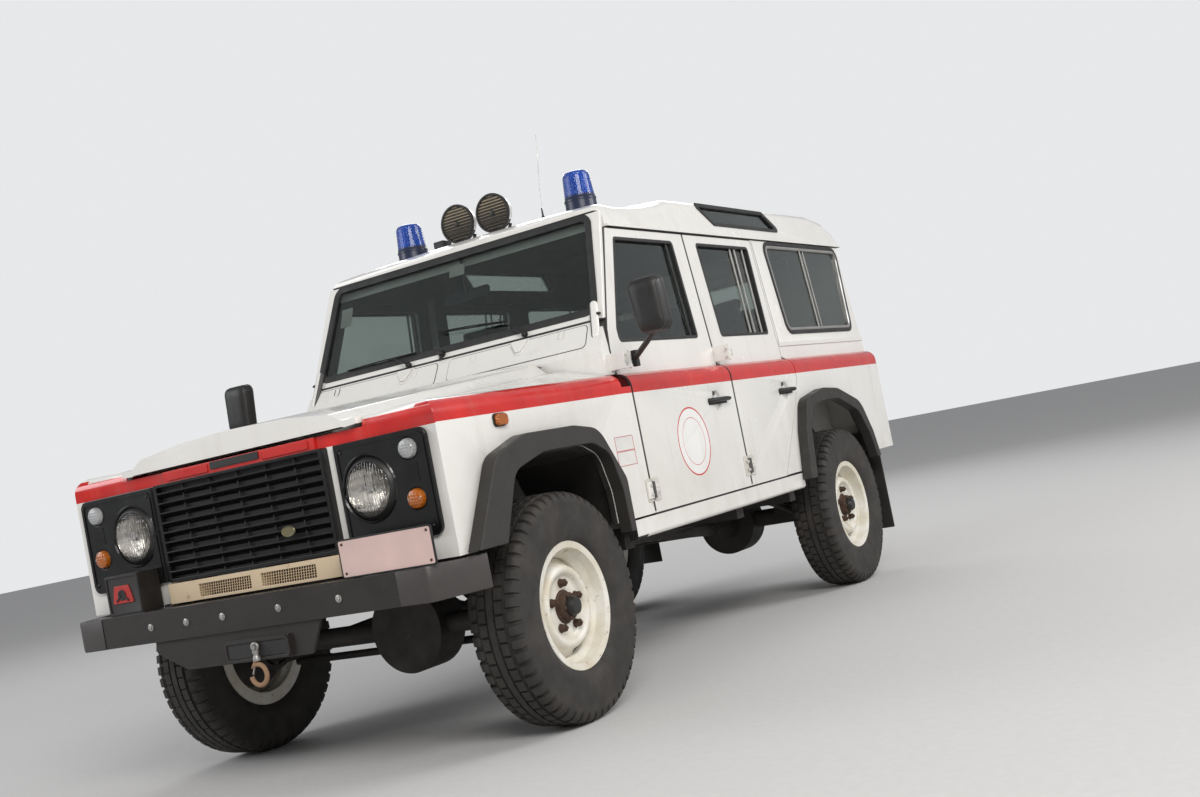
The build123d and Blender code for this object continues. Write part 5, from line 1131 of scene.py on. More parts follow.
front_lamp_u, tail_lamp_u = -0.618, 3.576
signal_pieces = lamp_set("side_lamp", front_lamp_u, ((0.728, 1.026),), ahead, clear_lens)
lamp_set("indicator", front_lamp_u, ((0.728, 0.867),), ahead, amber_lens)
lamp_set("tail_lamp", tail_lamp_u, ((0.7, 0.85), (0.7, 0.94)), -ahead, red_lens, 0.029)
lamp_set("tail_indicator", tail_lamp_u, ((0.7, 1.03),), -ahead, amber_lens, 0.029)
lamp_set("reverse_lamp", tail_lamp_u, ((0.7, 0.76),), -ahead, clear_lens, 0.029)
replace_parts(signal_pieces[0], "signal_lamps")
# The repeater on each wing and its foot
# columns: name, material, half length, half height, the plate's two distances off the wing, rounding of its edges
for name, material, half_length, half_height, low, high, kind in (
    ("side_repeater", amber_lens, 0.0335, 0.0195, 0.004, 0.019, {"bevel": 0.006, "segments": 4}),
    ("repeater_foot", black_plastic, 0.036, 0.0225, 0.0, 0.006, {}),
):
    y, z = back(-0.27), 1.069
    both_sides(name, material, (flat_panel, rect(y - half_length, z - half_height, y + half_length, z + half_height),
                                0.014, beside, low, high), **kind)


# The moulded square round each head lamp, and the ribs between the two small lamps
def lamp_bead(bm):
    """Low ring moulded round the lamp; every step has its own six points."""
    for step in range(40):
        line = []
        for angle in (2 * math.pi * (step + k) / 40 for k in (0, 1)):
            for radius, lift in ((0.1045, 0), (0.1085, 0.004), (0.1125, 0)):
                line.append((lamp_x + radius * math.cos(angle), face_y - lift, lamp_z + radius * math.sin(angle)))
        row = points(bm, line)
        bm.faces.new((row[0], row[3], row[4], row[1]))
        bm.faces.new((row[1], row[4], row[5], row[2]))


square = rect(0.437, 0.757, 0.794, 1.074)
both_sides("surround_step", gloss_black,
           (ring_plate, face_y, rounded(square, 0.026), rounded(inset(square, 0.007), 0.019), -0.0035), (lamp_bead,))
both_sides("surround_ribs", gloss_black,
           *((slab, (0.703, face_y - 0.003, z), (0.752, face_y + 0.002, z + 0.0042))
             for z in (0.922 + row * 0.0105 for row in range(6))),
           *((dome_bolt, (x, face_y, z), ahead, 0.0055, 0.003)
             for x, z in ((0.455, 1.055), (0.455, 0.775), (0.776, 0.775), (0.452, 0.915))))

# Grille: frame, nine leaning slats with a lit front edge, the stays behind and the blank oval
grille_low, grille_high, grille_half = 0.742, 1.0857, 0.394
grille_y = back(-0.652)
slat_count = 9
slat_section = ((0.0015, 0.005), (0.0, 0.003), (0.0, 0.0005), (0.004, -0.003), (0.019, -0.015),
                (0.02, -0.014), (0.006, 0.001), (0.005, 0.005))


def grille_slat(bm, z):
    ends = [points(bm, [(x, grille_y + dy, z + dz) for dy, dz in slat_section])
            for x in (-grille_half + 0.01, grille_half - 0.01)]
    skin(bm, ends)
    bm.faces.new(ends[0])
    bm.faces.new(list(reversed(ends[1])))


def oval_mesh(bm):
    place, flatness = Vector((0.197, grille_y + 0.001, 0.842)), 0.6
    lathe(bm, [(0.03, 0.0), (0.03, 0.004), (0.0275, 0.0062), (0.024, 0.005), (0.023, 0.0042), (0, 0.0046)],
          place, ahead, 40)
    for vert in bm.verts:
        vert.co.z = place.z + (vert.co.z - place.z) * flatness


grille_piece = piece(
    "grille_frame", gloss_black,
    (ring_plate, grille_y + 0.001, rounded(rect(-grille_half, grille_low, grille_half, grille_high), 0.006),
     rounded(rect(-grille_half + 0.014, grille_low + 0.012, grille_half - 0.014, grille_high - 0.01), 0.004), 0.0335),
    slot="grille_paint", bevel=0.0015)
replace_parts(grille_piece, "grille")
for row in range(1, slat_count + 1):
    z = grille_low + (grille_high - grille_low) * row / (slat_count + 1)
    piece(f"grille_slat_{row}", gloss_black, (grille_slat, z), slot="grille_paint", sharp=30)
piece("grille_stays", rubber,
      *((slab, (x - 0.002, grille_y + 0.012, grille_low + 0.006), (x + 0.002, grille_y + 0.0195, grille_high - 0.006))
        for x in (-0.262, -0.131, 0.0, 0.131, 0.262)), slot="grille_paint", bevel=0.001)
piece("grille_mesh", radiator_mesh,
      (slab, (-grille_half + 0.015, back(-0.63), grille_low + 0.003),
       (grille_half - 0.015, back(-0.6265), grille_high - 0.003)), slot="grille_paint")
piece("grille_oval", brass, (oval_mesh,), slot="grille_paint")

# Blank badge plate on the slam panel, with the panel's raised stretches
piece("badge_plate", black_plastic,
      (flat_panel, rect(-0.118, 1.0985, 0.108, 1.1235), 0.003, facing(-0.632), 0.0, 0.0045), bevel=0.001)
for word, low, high in (("left", 0.122, 0.33), ("right", -0.33, -0.132)):
    piece(f"slam_press_{word}", band_red,
          (flat_panel, rect(low, 1.0925, high, 1.1215), 0.006, facing(-0.632), 0.0, 0.004),
          slot="white_paint", bevel=0.0015)

# Vented apron under the grille
for word, low, high in (("left", 0.045, 0.291), ("right", -0.248, -0.002)):
    bars, rows = 22, 5
    foot_z, height = 0.678, 0.044
    piece(f"apron_grid_{word}", cream,
          *((pipe, [(x - 0.003, back(-0.6575), foot_z), (x + 0.003, back(-0.6575), foot_z + height)], 0.0013, 6)
            for x in (low + (high - low) * index / bars for index in range(bars + 1))),
          *((pipe, [(low, back(-0.656), z), (high, back(-0.656), z)], 0.0011, 6)
            for z in (foot_z + height * row / rows for row in range(1, rows))), slot="white_paint")
    piece(f"apron_dark_{word}", radiator_mesh,
          (slab, (low - 0.002, back(-0.602), 0.674), (high + 0.002, back(-0.599), 0.726)), slot="black_plastic")

# Number plate, left blank, on two brackets from the bumper
plate = rect(0.455, 0.6655, 0.823, 0.782)
piece("number_plate", plate_pink, (flat_panel, plate, 0.008, facing(-0.72), 0.0, 0.002),
      slot="white_paint", bevel=0.0006)
piece("plate_holder", black_plastic,
      (flat_panel, inset(plate, -0.004), 0.01, facing(-0.72), -0.004, 0.0),
      (ring_plate, back(-0.7222), rounded(inset(plate, -0.003), 0.01), rounded(inset(plate, 0.002), 0.006), 0.004),
      *((slab, (x - 0.014, back(-0.7165), 0.6595), (x + 0.014, back(u), z))
        for x in (0.5, 0.74) for u, z in ((-0.7135, 0.735), (-0.68, 0.6625))), bevel=0.0008)
piece("plate_screws", rust,
      *((dome_bolt, (x, back(-0.722), z), ahead, 0.0048, 0.0025)
        for x, z in ((0.47, 0.77), (0.808, 0.77), (0.47, 0.678), (0.808, 0.678))), slot="rust_steel")

# Bumper: bolts, end-cap joints, the fairlead plate, the socket box and the hook
bumper_y, bolt_z = back(-0.735), 0.606
bolt_places = [Vector((x, bumper_y, bolt_z)) for x in (-0.256, -0.084, 0.17, 0.43, -0.43)]
piece("bumper_bolts", alloy,
      *(part for spot in bolt_places for part in
        ((lathe, [(0.0125, 0), (0.0125, 0.002), (0.008, 0.0035)], spot, ahead, 18),
         (hex_nut, spot + ahead * 0.002, ahead, 0.0085, 0.006))), slot="bumper_steel")


def end_cap(bm):
    """Plastic cap over the bumper's end, following its bend."""
    line = [(0.672, -0.7355), (0.78, -0.7355), (0.7925, -0.73), (0.801, -0.718), (0.8725, -0.526)]
    low, high = 0.5515, 0.6605
    cap_rows = []
    for z, shift in ((low, -0.004), (low + 0.006, 0.0035), (high - 0.006, 0.0035), (high, -0.004)):
        row = []
        for index, (x, u) in enumerate(line):
            before = Vector(line[max(0, index - 1)])
            after = Vector(line[min(len(line) - 1, index + 1)])
            along = (after - before).normalized()
            out = Vector((along.y, -along.x))
            if out.dot(Vector((0.3, -1))) < 0:
                out = -out
            row.append((x + out.x * shift * 0.4, back(u) + out.y * shift * 0.4, z))
        cap_rows.append(points(bm, row))
    skin(bm, cap_rows, around=False)
    for row in (cap_rows[0], cap_rows[-1]):
        skin(bm, [row, points(bm, [vert.co + Vector((-0.03, 0.045, 0)) for vert in row])], around=False)


both_sides("bumper_cap", cap_plastic, (end_cap,), sharp=50)
lead = rect(-0.098, 0.4475, 0.191, 0.5175)
lead_y = bumper_y - 0.0005
piece("fairlead_rim", bumper_paint,
      (ring_plate, lead_y, rounded(lead, 0.018), rounded(inset(lead, 0.01), 0.009), -0.005),
      slot="bumper_steel", bevel=0.0015)
piece("fairlead_slot", rubber, (slab, (-0.086, lead_y - 0.002, 0.459), (0.179, lead_y + 0.001, 0.506)),
      slot="black_plastic", bevel=0.001)
socket_u, socket_x = -0.726, -0.55
socket_y = back(socket_u)
piece("socket_lid", red_plastic,
      (flat_panel, ((-0.602, 0.7045), (-0.498, 0.7045), (-0.514, 0.766), (-0.586, 0.766)), 0.004, facing(socket_u),
       -0.001, 0.004), slot="black_plastic", bevel=0.0015)
piece("socket_core", rubber,
      (lathe, [(0.019, 0.0), (0.019, 0.003), (0.015, 0.0042), (0.012, 0.001), (0, 0.0008)],
       (socket_x, socket_y - 0.004, 0.733), ahead, 24),
      *((pipe, [(socket_x + way * 0.006, socket_y - 0.005, 0.733), (socket_x + way * 0.03, socket_y - 0.005, 0.712)],
         0.004, 6) for way in (-1, 1)), slot="black_plastic", bevel=0.0006)
piece("socket_box_rim", black_plastic,
      (ring_plate, socket_y, rounded(rect(-0.629, 0.664, -0.462, 0.801), 0.01),
       rounded(rect(-0.621, 0.672, -0.47, 0.793), 0.006), -0.003), bevel=0.001)

# Snap hook: shackle, swivel eye and an open hook with its spring tongue
hook_x, hook_y = 0.046, back(-0.747)
eye_x = hook_x + 0.002
bend_z, bend_radius = 0.402, 0.0345
arc = [(hook_x + bend_radius * math.cos(a), hook_y, bend_z + bend_radius * math.sin(a))
       for a in (math.radians(118 - 290 * step / 16) for step in range(17))]
hook_line = [(eye_x, hook_y, 0.462), (hook_x - 0.004, hook_y, 0.446)] + arc
hook = piece("tow_snap_hook", hook_rust, (pipe, hook_line, 0.008, 10), slot="rust_steel", sharp=60)
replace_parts(hook, "tow_hook")
eye = [(eye_x + 0.0135 * math.cos(a), hook_y, 0.4945 + 0.0105 * math.sin(a))
       for a in (2 * math.pi * step / 14 for step in range(14))]
piece("hook_swivel", alloy,
      (lathe, [(0.0, -0.004), (0.0125, -0.002), (0.0135, 0.006), (0.01, 0.013), (0.0085, 0.02), (0.012, 0.026),
               (0.012, 0.032), (0.006, 0.036), (0, 0.036)], (eye_x, hook_y, 0.45), upwards, 20),
      (pipe, [(eye_x, hook_y + 0.011, 0.492), (eye_x, hook_y - 0.01, 0.492)], 0.0085, 10),
      (pipe, eye, 0.005, 8, True),
      (pipe, [(hook_x - 0.013, hook_y, 0.434), (hook_x - 0.026, hook_y, 0.405)], 0.003, 6),
      slot="rust_steel", sharp=50)


# Sides: door handles, locks, hinge bolts, rivets, blank stickers and the mirrors
def door_handle(bm, u, z, half):
    """Paddle handle over its pressed dish."""
    lathe(bm, [(0.017, -0.008), (0.017, 0.003), (0.013, 0.005), (0, 0.005)], (side_x - 0.006, back(u - 0.034), z),
          leftwards, 20)
    # columns: off the wall, share of the half length, up
    rows = ((-0.004, -1, 0), (0.01, -0.8, 0.001), (0.0165, -0.2, 0.002), (0.0175, 0.7, 0.002), (0.0135, 1, 0.001))
    pipe(bm, [(side_x + out, back(u + half * share), z + up) for out, share, up in rows], 0.015, 12, flat=0.62)
    slab(bm, (side_x - 0.002, back(u - half - 0.002), z - 0.016), (side_x + 0.0035, back(u + half + 0.002), z + 0.013))


handle_z = 1.029
lock_profile = ((0.01, -0.004), (0.01, 0.003), (0.008, 0.0045), (0.003, 0.0045), (0.002, 0.0035), (0, 0.0035))
for word, u, half, bodies in (("front", 1.41, 0.088, front_bodies), ("rear", 2.182, 0.076, rear_bodies)):
    both_sides(f"{word}_handle", black_plastic, (door_handle, u, handle_z, half), bodies=bodies, bevel=0.001, sharp=50)
    both_sides(f"{word}_lock", dark_iron, (lathe, lock_profile, (side_x - 0.001, back(u - 0.026), handle_z + 0.033),
                                           leftwards, 20), bodies=bodies, slot="black_plastic")

hinge_x, pin_half = side_x + 0.01, 0.0322
leaf_bolts = ((0.014, 0.008), (0.031, 0.008), (0.014, -0.008), (0.031, -0.008))


def hinge_cap(bm, u, z):
    """Domed pin ends and the two bolts of the fixed leaf."""
    for way in (-1, 1):
        dome_bolt(bm, (hinge_x, back(u), z + way * pin_half), upwards * way, 0.0055, 0.0035)
    for dz in (-0.018, 0.018):
        lathe(bm, [(0.0078, 0), (0.0078, 0.0015), (0.0055, 0.0022)], (hinge_x, back(u - 0.026), z + dz), leftwards, 14)
        hex_nut(bm, (hinge_x + 0.0015, back(u - 0.026), z + dz), leftwards, 0.0058, 0.0038)


# columns: back from the front axle where the pin is, height, bodies of the door
for index, (u, z, bodies) in enumerate(((0.68, 1.236, front_bodies), (0.68, 0.722, front_bodies),
                                        (1.605, 1.236, rear_bodies), (1.605, 0.722, rear_bodies))):
    if z < waist_z:
        for name, low, high, carried in (("hinge_plate", -0.052, -0.008, fixed_bodies),
                                         ("hinge_leaf", 0.002, 0.056, bodies)):
            corners = rect(back(u + low), z - 0.045, back(u + high), z + 0.045)
            both_sides(f"{name}_{index}", hinge_steel, (flat_panel, corners, 0.008, beside, 0.0, 0.0032),
                       bodies=carried, bevel=0.0012)
    both_sides(f"hinge_pin_{index}", hinge_steel, (hinge_cap, u, z))
    both_sides(f"hinge_bolts_{index}", hinge_steel,
               *((dome_bolt, (hinge_x, back(u + du), z + dz), leftwards, 0.0052, 0.0028) for du, dz in leaf_bolts),
               bodies=bodies)
both_sides("tub_rivets", white,
           *((dome_bolt, (side_x, back(2.415 + index * 0.034), 1.086), leftwards, 0.0033, 0.0016, 8)
             for index in range(10)),
           *((dome_bolt, (wall_x(1.262) + 0.006, back(2.46 + index * 0.125), 1.263), leftwards, 0.0036, 0.0018, 8)
             for index in range(9)))
both_sides("door_rivets", white,
           *((dome_bolt, (side_x, back(1.8 + index * 0.11), 0.65), leftwards, 0.0028, 0.0014, 8)
             for index in range(5)), bodies=rear_bodies)
# Sealed joints between the outer panels
both_sides("side_seams", rubber,
           (pipe, [on_wall(2.515, 0.66), on_wall(2.515, 0.8)], 0.0016, 6),
           (pipe, [(gutter_x + 0.0005, back(u), 1.8035) for u in (0.93, 3.57)], 0.0022, 6),
           (pipe, [on_wall(2.372, z) for z in (1.262, 1.5, 1.795)], 0.0014, 6))

# columns: back from the front axle, height, along the middle of each gap round the side doors
door_gaps = (
    ((0.671, 0.64), (0.671, 1.29), (0.691, 1.374), (0.888, 1.799), (1.596, 1.799)),
    ((1.596, 0.64), (1.596, 1.799), (2.352, 1.799), (2.352, 1.02)),
    ((0.671, 0.629), (2.04, 0.629)),
)
gap_depth = -0.0045


def gap_strips(bm):
    """Dark rubber set deep in the gaps round the doors."""
    for rows in door_gaps:
        line = []
        for (u0, z0), (u1, z1) in zip(rows, rows[1:]):
            count = max(1, round(math.hypot(u1 - u0, z1 - z0) / 0.02))
            line += [on_wall(u0 + (u1 - u0) * step / count, z0 + (z1 - z0) * step / count, gap_depth)
                     for step in range(count)]
        pipe(bm, line + [on_wall(*rows[-1], gap_depth)], 0.0027, 6)


both_sides("door_gap_rubbers", rubber, (gap_strips,))
both_sides("wing_sticker", sticker,
           (flat_panel, rect(back(0.458), 0.8325, back(0.6), 0.9465), 0.003, beside, 0.0, 0.0007))
both_sides("wing_sticker_lines", sticker_red,
           *((pipe, [(side_x + 0.0008, back(u), z) for u, z in rect(0.46, low, 0.598, high)], 0.0011, 4, True)
             for low, high in ((0.8345, 0.888), (0.891, 0.9445))))

# Mirrors: crowned shell, a rim whose lighter plastic is a painted highlight along the shell's edge, glass, and the arm
# on its hinge bracket
mirror_corners = ((1.002, 1.303), (1.1298, 1.299), (1.1205, 1.5105), (0.984, 1.508))
mirror_glass_u, mirror_back_u = 0.54, 0.548
# columns: inwards from the outline, corner radius, back from the front axle
shell_rows = ((0.007, 0.026, mirror_glass_u), (0.006, 0.027, mirror_back_u),
              *((gap, max(0.012, 0.032 - gap * 0.3), u) for gap, u in ((0.0, mirror_back_u), (0.0, 0.52),
                (0.004, 0.506), (0.012, 0.497), (0.026, 0.4918), (0.046, 0.4903))))


def mirror_outline(gap, radius, u):
    return [(p.x, back(u), p.y) for p in rounded(inset(mirror_corners, gap), radius, 6)]


def mirror_shell(bm):
    rings = [points(bm, mirror_outline(*row)) for row in shell_rows]
    skin(bm, rings)
    bm.faces.new(rings[-1])


made = both_sides("mirror_shell", black_plastic, (mirror_shell,), bodies=front_bodies, sharp=50)
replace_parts(made[0], "mirror_left")
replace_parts(made[1], "mirror_right")
both_sides("mirror_glass", mirror_chrome, (flat_panel, [tuple(p) for p in inset(mirror_corners, 0.0065)], 0.026,
                                           lambda x, z, out: Vector((x, back(mirror_glass_u) + out, z)), 0.0, 0.003),
           bodies=front_bodies)
# Rims in lighter plastic round the shell: a painted highlight where its edges catch the light
both_sides("mirror_rim", cap_plastic, (pipe, mirror_outline(0.0005, 0.031, 0.5475), 0.003, 6, True),
           (pipe, mirror_outline(0.006, 0.03, 0.5045), 0.0022, 6, True), bodies=front_bodies)
both_sides("mirror_arm", black_plastic,
           (pipe, [(0.866, back(0.7015), 1.239), (0.962, back(0.63), 1.28), (1.06, back(0.552), 1.322)],
            0.0115, 12),
           (lathe, [(0.0185, -0.02), (0.0185, 0.014), (0.015, 0.02), (0, 0.02)], (1.062, back(0.545), 1.322),
            upwards, 18),
           (slab, (0.8485, back(0.696), 1.204), (0.87, back(0.724), 1.268)),
           bodies=front_bodies, bevel=0.003, sharp=50)

# Roof: beacons, lamps with barred covers, aerial, corner-window rubbers and a small horn box
beacon_place = Vector((0.47, back(1.22), 1.996))
beacon_base = ((0.0755, -0.075), (0.0755, -0.046), (0.073, -0.04), (0.07, -0.036), (0.069, 0.0), (0.0715, 0.003),
               (0.0715, 0.01), (0.069, 0.013), (0.0675, 0.024), (0.065, 0.026))
lens_rings = [(0.0655 - 0.0065 * step / 12 + (0.0012 if step % 2 else 0.0), 0.026 + 0.09 * step / 12)
              for step in range(13)]
beacon_lens = ((0.0665, 0.02), *lens_rings, (0.057, 0.122), (0.052, 0.13), (0.038, 0.1345), (0.02, 0.136),
               (0, 0.1362))
beacon_core = ((0.04, 0.022), (0.04, 0.036), (0.018, 0.04), (0.018, 0.095), (0.012, 0.104), (0, 0.105))
made = both_sides("beacon_lens", blue_lens, (lathe, beacon_lens, beacon_place, upwards, 40), sharp=50)
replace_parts(made[0], "beacons")
both_sides("beacon_base", beacon_dark, (lathe, beacon_base, beacon_place, upwards, 40), slot="black_plastic")
both_sides("beacon_core", alloy, (lathe, beacon_core, beacon_place, upwards, 20),
           (pipe, [beacon_place + Vector((-0.034, 0, 0.05)), beacon_place + Vector((-0.04, 0, 0.11))],
            0.01, 8, False, 2.2), slot="lamp_glass")

roof_lamp_pieces = []
for word, x in (("right", -0.182), ("left", 0.018)):
    seat, foot_y = Vector((x, back(1.2), 2.064)), back(1.246)
    roof_lamp_pieces.append(piece(
        f"roof_lamp_shell_{word}", white,
        (lathe, [(0.0895, -0.002), (0.088, -0.016), (0.08, -0.046), (0.062, -0.072), (0.036, -0.086),
                 (0, -0.0895)], seat, ahead, 44)))
    piece(f"roof_lamp_rim_{word}", black_plastic,
          (lathe, [(0.085, -0.02), (0.0898, -0.014), (0.0898, -0.001), (0.087, 0.0), (0.082, 0.0),
                   (0.08, -0.004)], seat, ahead, 44))
    piece(f"roof_lamp_cover_{word}", lamp_cover,
          (lathe, [(0.0815, -0.0075), (0.06, -0.006), (0.03, -0.005), (0, -0.0048)], seat, ahead, 44),
          slot="lamp_glass")
    bars = [(z, math.sqrt(0.0812 ** 2 - z * z)) for z in (row * 0.0142 for row in range(-5, 6))]
    piece(f"roof_lamp_bars_{word}", black_plastic,
          *((pipe, [seat + Vector((-half, 0.005, z)), seat + Vector((0, 0.0028, z)), seat + Vector((half, 0.005, z))],
             0.0024, 6) for z, half in bars),
          (lathe, [(0.011, 0.0), (0.011, 0.0035), (0.008, 0.0045), (0, 0.0045)], seat - ahead * 0.0045, ahead, 18))
    piece(f"roof_lamp_foot_{word}", black_plastic,
          (pipe, [(x + dx, foot_y, z) for dx, z in ((-0.06, 2.004), (-0.045, 1.974), (0.045, 1.974), (0.06, 2.004))],
           0.006, 8, False, 1.8),
          (lathe, [(0.016, -0.016), (0.016, 0.01), (0.01, 0.014), (0.01, 0.02), (0, 0.02)], (x, foot_y, 1.964),
           upwards, 18), bevel=0.001)
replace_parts(roof_lamp_pieces[0], "roof_lamps")
piece("roof_horn_box", black_plastic, (slab, (-0.345, back(1.215), 1.938), (-0.285, back(1.285), 2.016)),
      bevel=0.008, segments=3)
aerial_x, aerial_u = 0.227, 1.29
aerial_piece = piece(
    "aerial_base", rubber,
    (lathe, [(0.0185, -0.012), (0.0185, 0.004), (0.015, 0.01), (0.009, 0.014), (0.0075, 0.034), (0.0045, 0.04),
             (0.003, 0.075), (0, 0.076)], (aerial_x, back(aerial_u), 1.962), upwards, 20))
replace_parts(aerial_piece, "aerial")
piece("aerial_whip", alloy,
      (pipe, [(aerial_x, back(aerial_u), 1.99), (0.2335, back(1.294), 2.13), (0.247, back(1.302), 2.245),
              (0.26, back(1.31), 2.3755)], 0.0019, 8))

# Corner windows in the roof: rubber round the pane, following the roof's side
corner_corners = uz(((1.882, 1.966), (2.008, 1.87), (2.797, 1.87), (2.684, 1.966)))
roof_mesh = cad_nodes["roof"].data
roof_tree = BVHTree.FromPolygons([v.co.copy() for v in roof_mesh.vertices],
                                 [tuple(p.vertices) for p in roof_mesh.polygons])


def on_pane(point):
    """Point on the plane of the corner window's pane."""
    return Vector((gutter_x - 0.264 * (point.y - gutter_z), point.x, point.y))


def on_roof_side(point):
    """Point on the roof's outer side, found by a ray from outside at this place in the side view."""
    hit = roof_tree.ray_cast(Vector((1.0, point.x, point.y)), -leftwards)[0]
    return on_pane(point) if hit is None or hit.x < 0.3 else hit


def corner_seal(bm):
    outward = Vector((0.94, 0, 0.34))
    outer, middle, inner = ([place(p) for p in rounded(inset(corner_corners, step), radius, 6)]
                            for place, step, radius in ((on_roof_side, -0.009, 0.018), (on_roof_side, -0.001, 0.013),
                                                        (on_pane, 0.01, 0.006)))
    loops = [points(bm, [p + outward * off for p in line]) for line, off in
             ((outer, 0.0), (outer, 0.006), (middle, 0.008), (inner, 0.001), (inner, -0.012), (middle, -0.012))]
    skin(bm, loops + loops[:1])


both_sides("corner_window_seal", rubber, (corner_seal,), sharp=50)


# Seats: each pad is swollen as sewn cloth under pressure, then takes its stitched channels and piping
def swollen(obj, limit, steps=14, pressure=4.0):
    """Cloth under pressure, applied to the mesh, where no point moves further than the limit."""
    start = [vert.co.copy() for vert in obj.data.vertices]
    cover = obj.modifiers.new("cover", "CLOTH")
    cover.settings.use_pressure = True
    cover.settings.uniform_pressure_force = pressure
    cover.settings.effector_weights.gravity = 0
    cover.settings.quality = 4
    cover.point_cache.frame_end = steps
    for step in range(1, steps + 1):
        bpy.context.scene.frame_set(step)
    shown = obj.evaluated_get(bpy.context.evaluated_depsgraph_get())
    swelled = [vert.co.copy() for vert in shown.data.vertices]
    obj.modifiers.remove(cover)
    bpy.context.scene.frame_set(1)
    for vert, before, after in zip(obj.data.vertices, start, swelled):
        shift = after - before
        if shift.length > limit:
            shift *= limit / shift.length
        vert.co = before + shift


def remade(obj, kind, **settings):
    """The object's mesh after one modifier."""
    step = obj.modifiers.new("step", kind)
    for name, value in settings.items():
        setattr(step, name, value)
    shown = obj.evaluated_get(bpy.context.evaluated_depsgraph_get())
    mesh = bpy.data.meshes.new_from_object(shown)
    obj.modifiers.remove(step)
    obj.data = mesh


channel_half, channel_depth, channel_fade = 0.007, 0.0085, 0.02
piping_radius, piping_pitch = 0.0034, 0.03


def pad(name, centre, half, lean, channels, voxel=0.013, taper=0.0, limit=0.012):
    """Cushion with across, along and out as its own axes; channels are stitched lines on its face."""
    bm = bmesh.new()
    bmesh.ops.create_cube(bm, size=2.0)
    bmesh.ops.subdivide_edges(bm, edges=bm.edges[:], cuts=9, use_grid_fill=True)
    for vert in bm.verts:
        a, b, c = vert.co
        rim = max(abs(a), abs(b)) ** 4
        thick = half[2] * (0.86 - 0.2 * rim) * (1 - taper * b)
        vert.co = Vector((a * half[0] * (0.965 - 0.03 * (1 - b * b)), b * half[1] * (0.965 - 0.03 * (1 - a * a)),
                          c * thick))
    mesh = bpy.data.meshes.new(name + "_pad")
    bm.to_mesh(mesh)
    bm.free()
    obj = bpy.data.objects.new(name + "_pad", mesh)
    bpy.context.scene.collection.objects.link(obj)
    remade(obj, "REMESH", mode="VOXEL", voxel_size=voxel)
    remade(obj, "SMOOTH", factor=0.5, iterations=3)
    swollen(obj, limit)
    remade(obj, "SUBSURF", levels=1)
    bm = bmesh.new()
    bm.from_mesh(obj.data)
    bpy.data.objects.remove(obj)
    spin = Matrix.Rotation(lean, 3, "X")
    for vert in bm.verts:
        vert.co = Vector([max(-h, min(h, c)) for c, h in zip(vert.co, half)])
        sink = 0.0
        for axis, value, low, high in channels:
            along = vert.co[1 - axis]
            if low <= along <= high:
                near = (vert.co[axis] - value) / channel_half
                fade = min(1.0, (along - low) / channel_fade, (high - along) / channel_fade)
                sink = max(sink, channel_depth * math.exp(-near * near) * fade)
        if vert.co.z > 0:
            vert.co.z -= sink
        vert.co = Vector(centre) + spin @ vert.co
    tree = BVHTree.FromBMesh(bm)
    cushion = finish_piece(name, bm, seat_cloth, sharp=60)
    rim = rounded(rect(-half[0], -half[1], half[0], half[1]), 0.05, 8)
    path = []
    for index, point in enumerate(rim):
        after = rim[(index + 1) % len(rim)]
        count = max(1, round((after - point).length / piping_pitch))
        for spot in (point.lerp(after, share / count) for share in range(count)):
            level = half[2] * 0.45 * (1 - taper * spot.y / half[1])
            start, target = (Vector(centre) + spin @ Vector((spot.x * reach, spot.y * reach, level))
                             for reach in (1.3, 0.3))
            hit = tree.ray_cast(start, (target - start).normalized())[0]
            if hit:
                path.append(hit)
    piece(name + "_piping", trim_grey, (pipe, path, piping_radius, 6, True), sharp=60)
    return cushion


seat_x, runner_z = 0.43, 0.944
for word, side in (("left", 1), ("right", -1)):
    x = side * seat_x
    cushion = pad(f"front_cushion_{word}", (x, back(1.275), 1.0005), (0.235, 0.235, 0.0645), 0.0,
                  ((0, -0.135, -0.2, 0.2), (0, 0.135, -0.2, 0.2), (1, -0.07, -0.135, 0.135),
                   (1, 0.07, -0.135, 0.135)))
    if side == 1:
        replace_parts(cushion, "seats")
    lean = math.radians(90 - 12.9)
    pad(f"front_back_{word}", (x, back(1.549), 1.285), (0.225, 0.222, 0.052), lean,
        ((0, -0.125, -0.19, 0.18), (0, 0.125, -0.19, 0.18), (1, -0.07, -0.125, 0.125), (1, 0.05, -0.125, 0.125)),
        taper=0.18)
    pad(f"head_rest_{word}", (x, back(1.617), 1.563), (0.125, 0.052, 0.034), lean, (), voxel=0.01, limit=0.008)
    piece(f"head_rest_pins_{word}", alloy,
          *((pipe, [(x + dx, back(1.594), 1.47), (x + dx, back(1.61), 1.54)], 0.006, 10) for dx in (-0.06, 0.06)),
          slot="seat_fabric")
    piece(f"seat_runners_{word}", dark_iron,
          *((pipe, [(x + dx, back(1.07), runner_z), (x + dx, back(1.54), runner_z)], 0.01, 8, False, 0.7)
            for dx in (-0.2, 0.2)),
          *((pipe, [(x + dx, back(1.525), 0.965), (x + dx, back(1.56), 1.08)], 0.014, 8, False, 0.5)
            for dx in (-0.205, 0.205)), slot="seat_fabric", bevel=0.001)
pad("bench_cushion", (0, back(2.1525), 0.99), (0.62, 0.1925, 0.0595), 0.0,
    ((0, -0.205, -0.18, 0.18), (0, 0.205, -0.18, 0.18), (0, -0.41, -0.13, 0.13), (0, 0.41, -0.13, 0.13),
     (1, 0.0, -0.58, 0.58)), voxel=0.016)
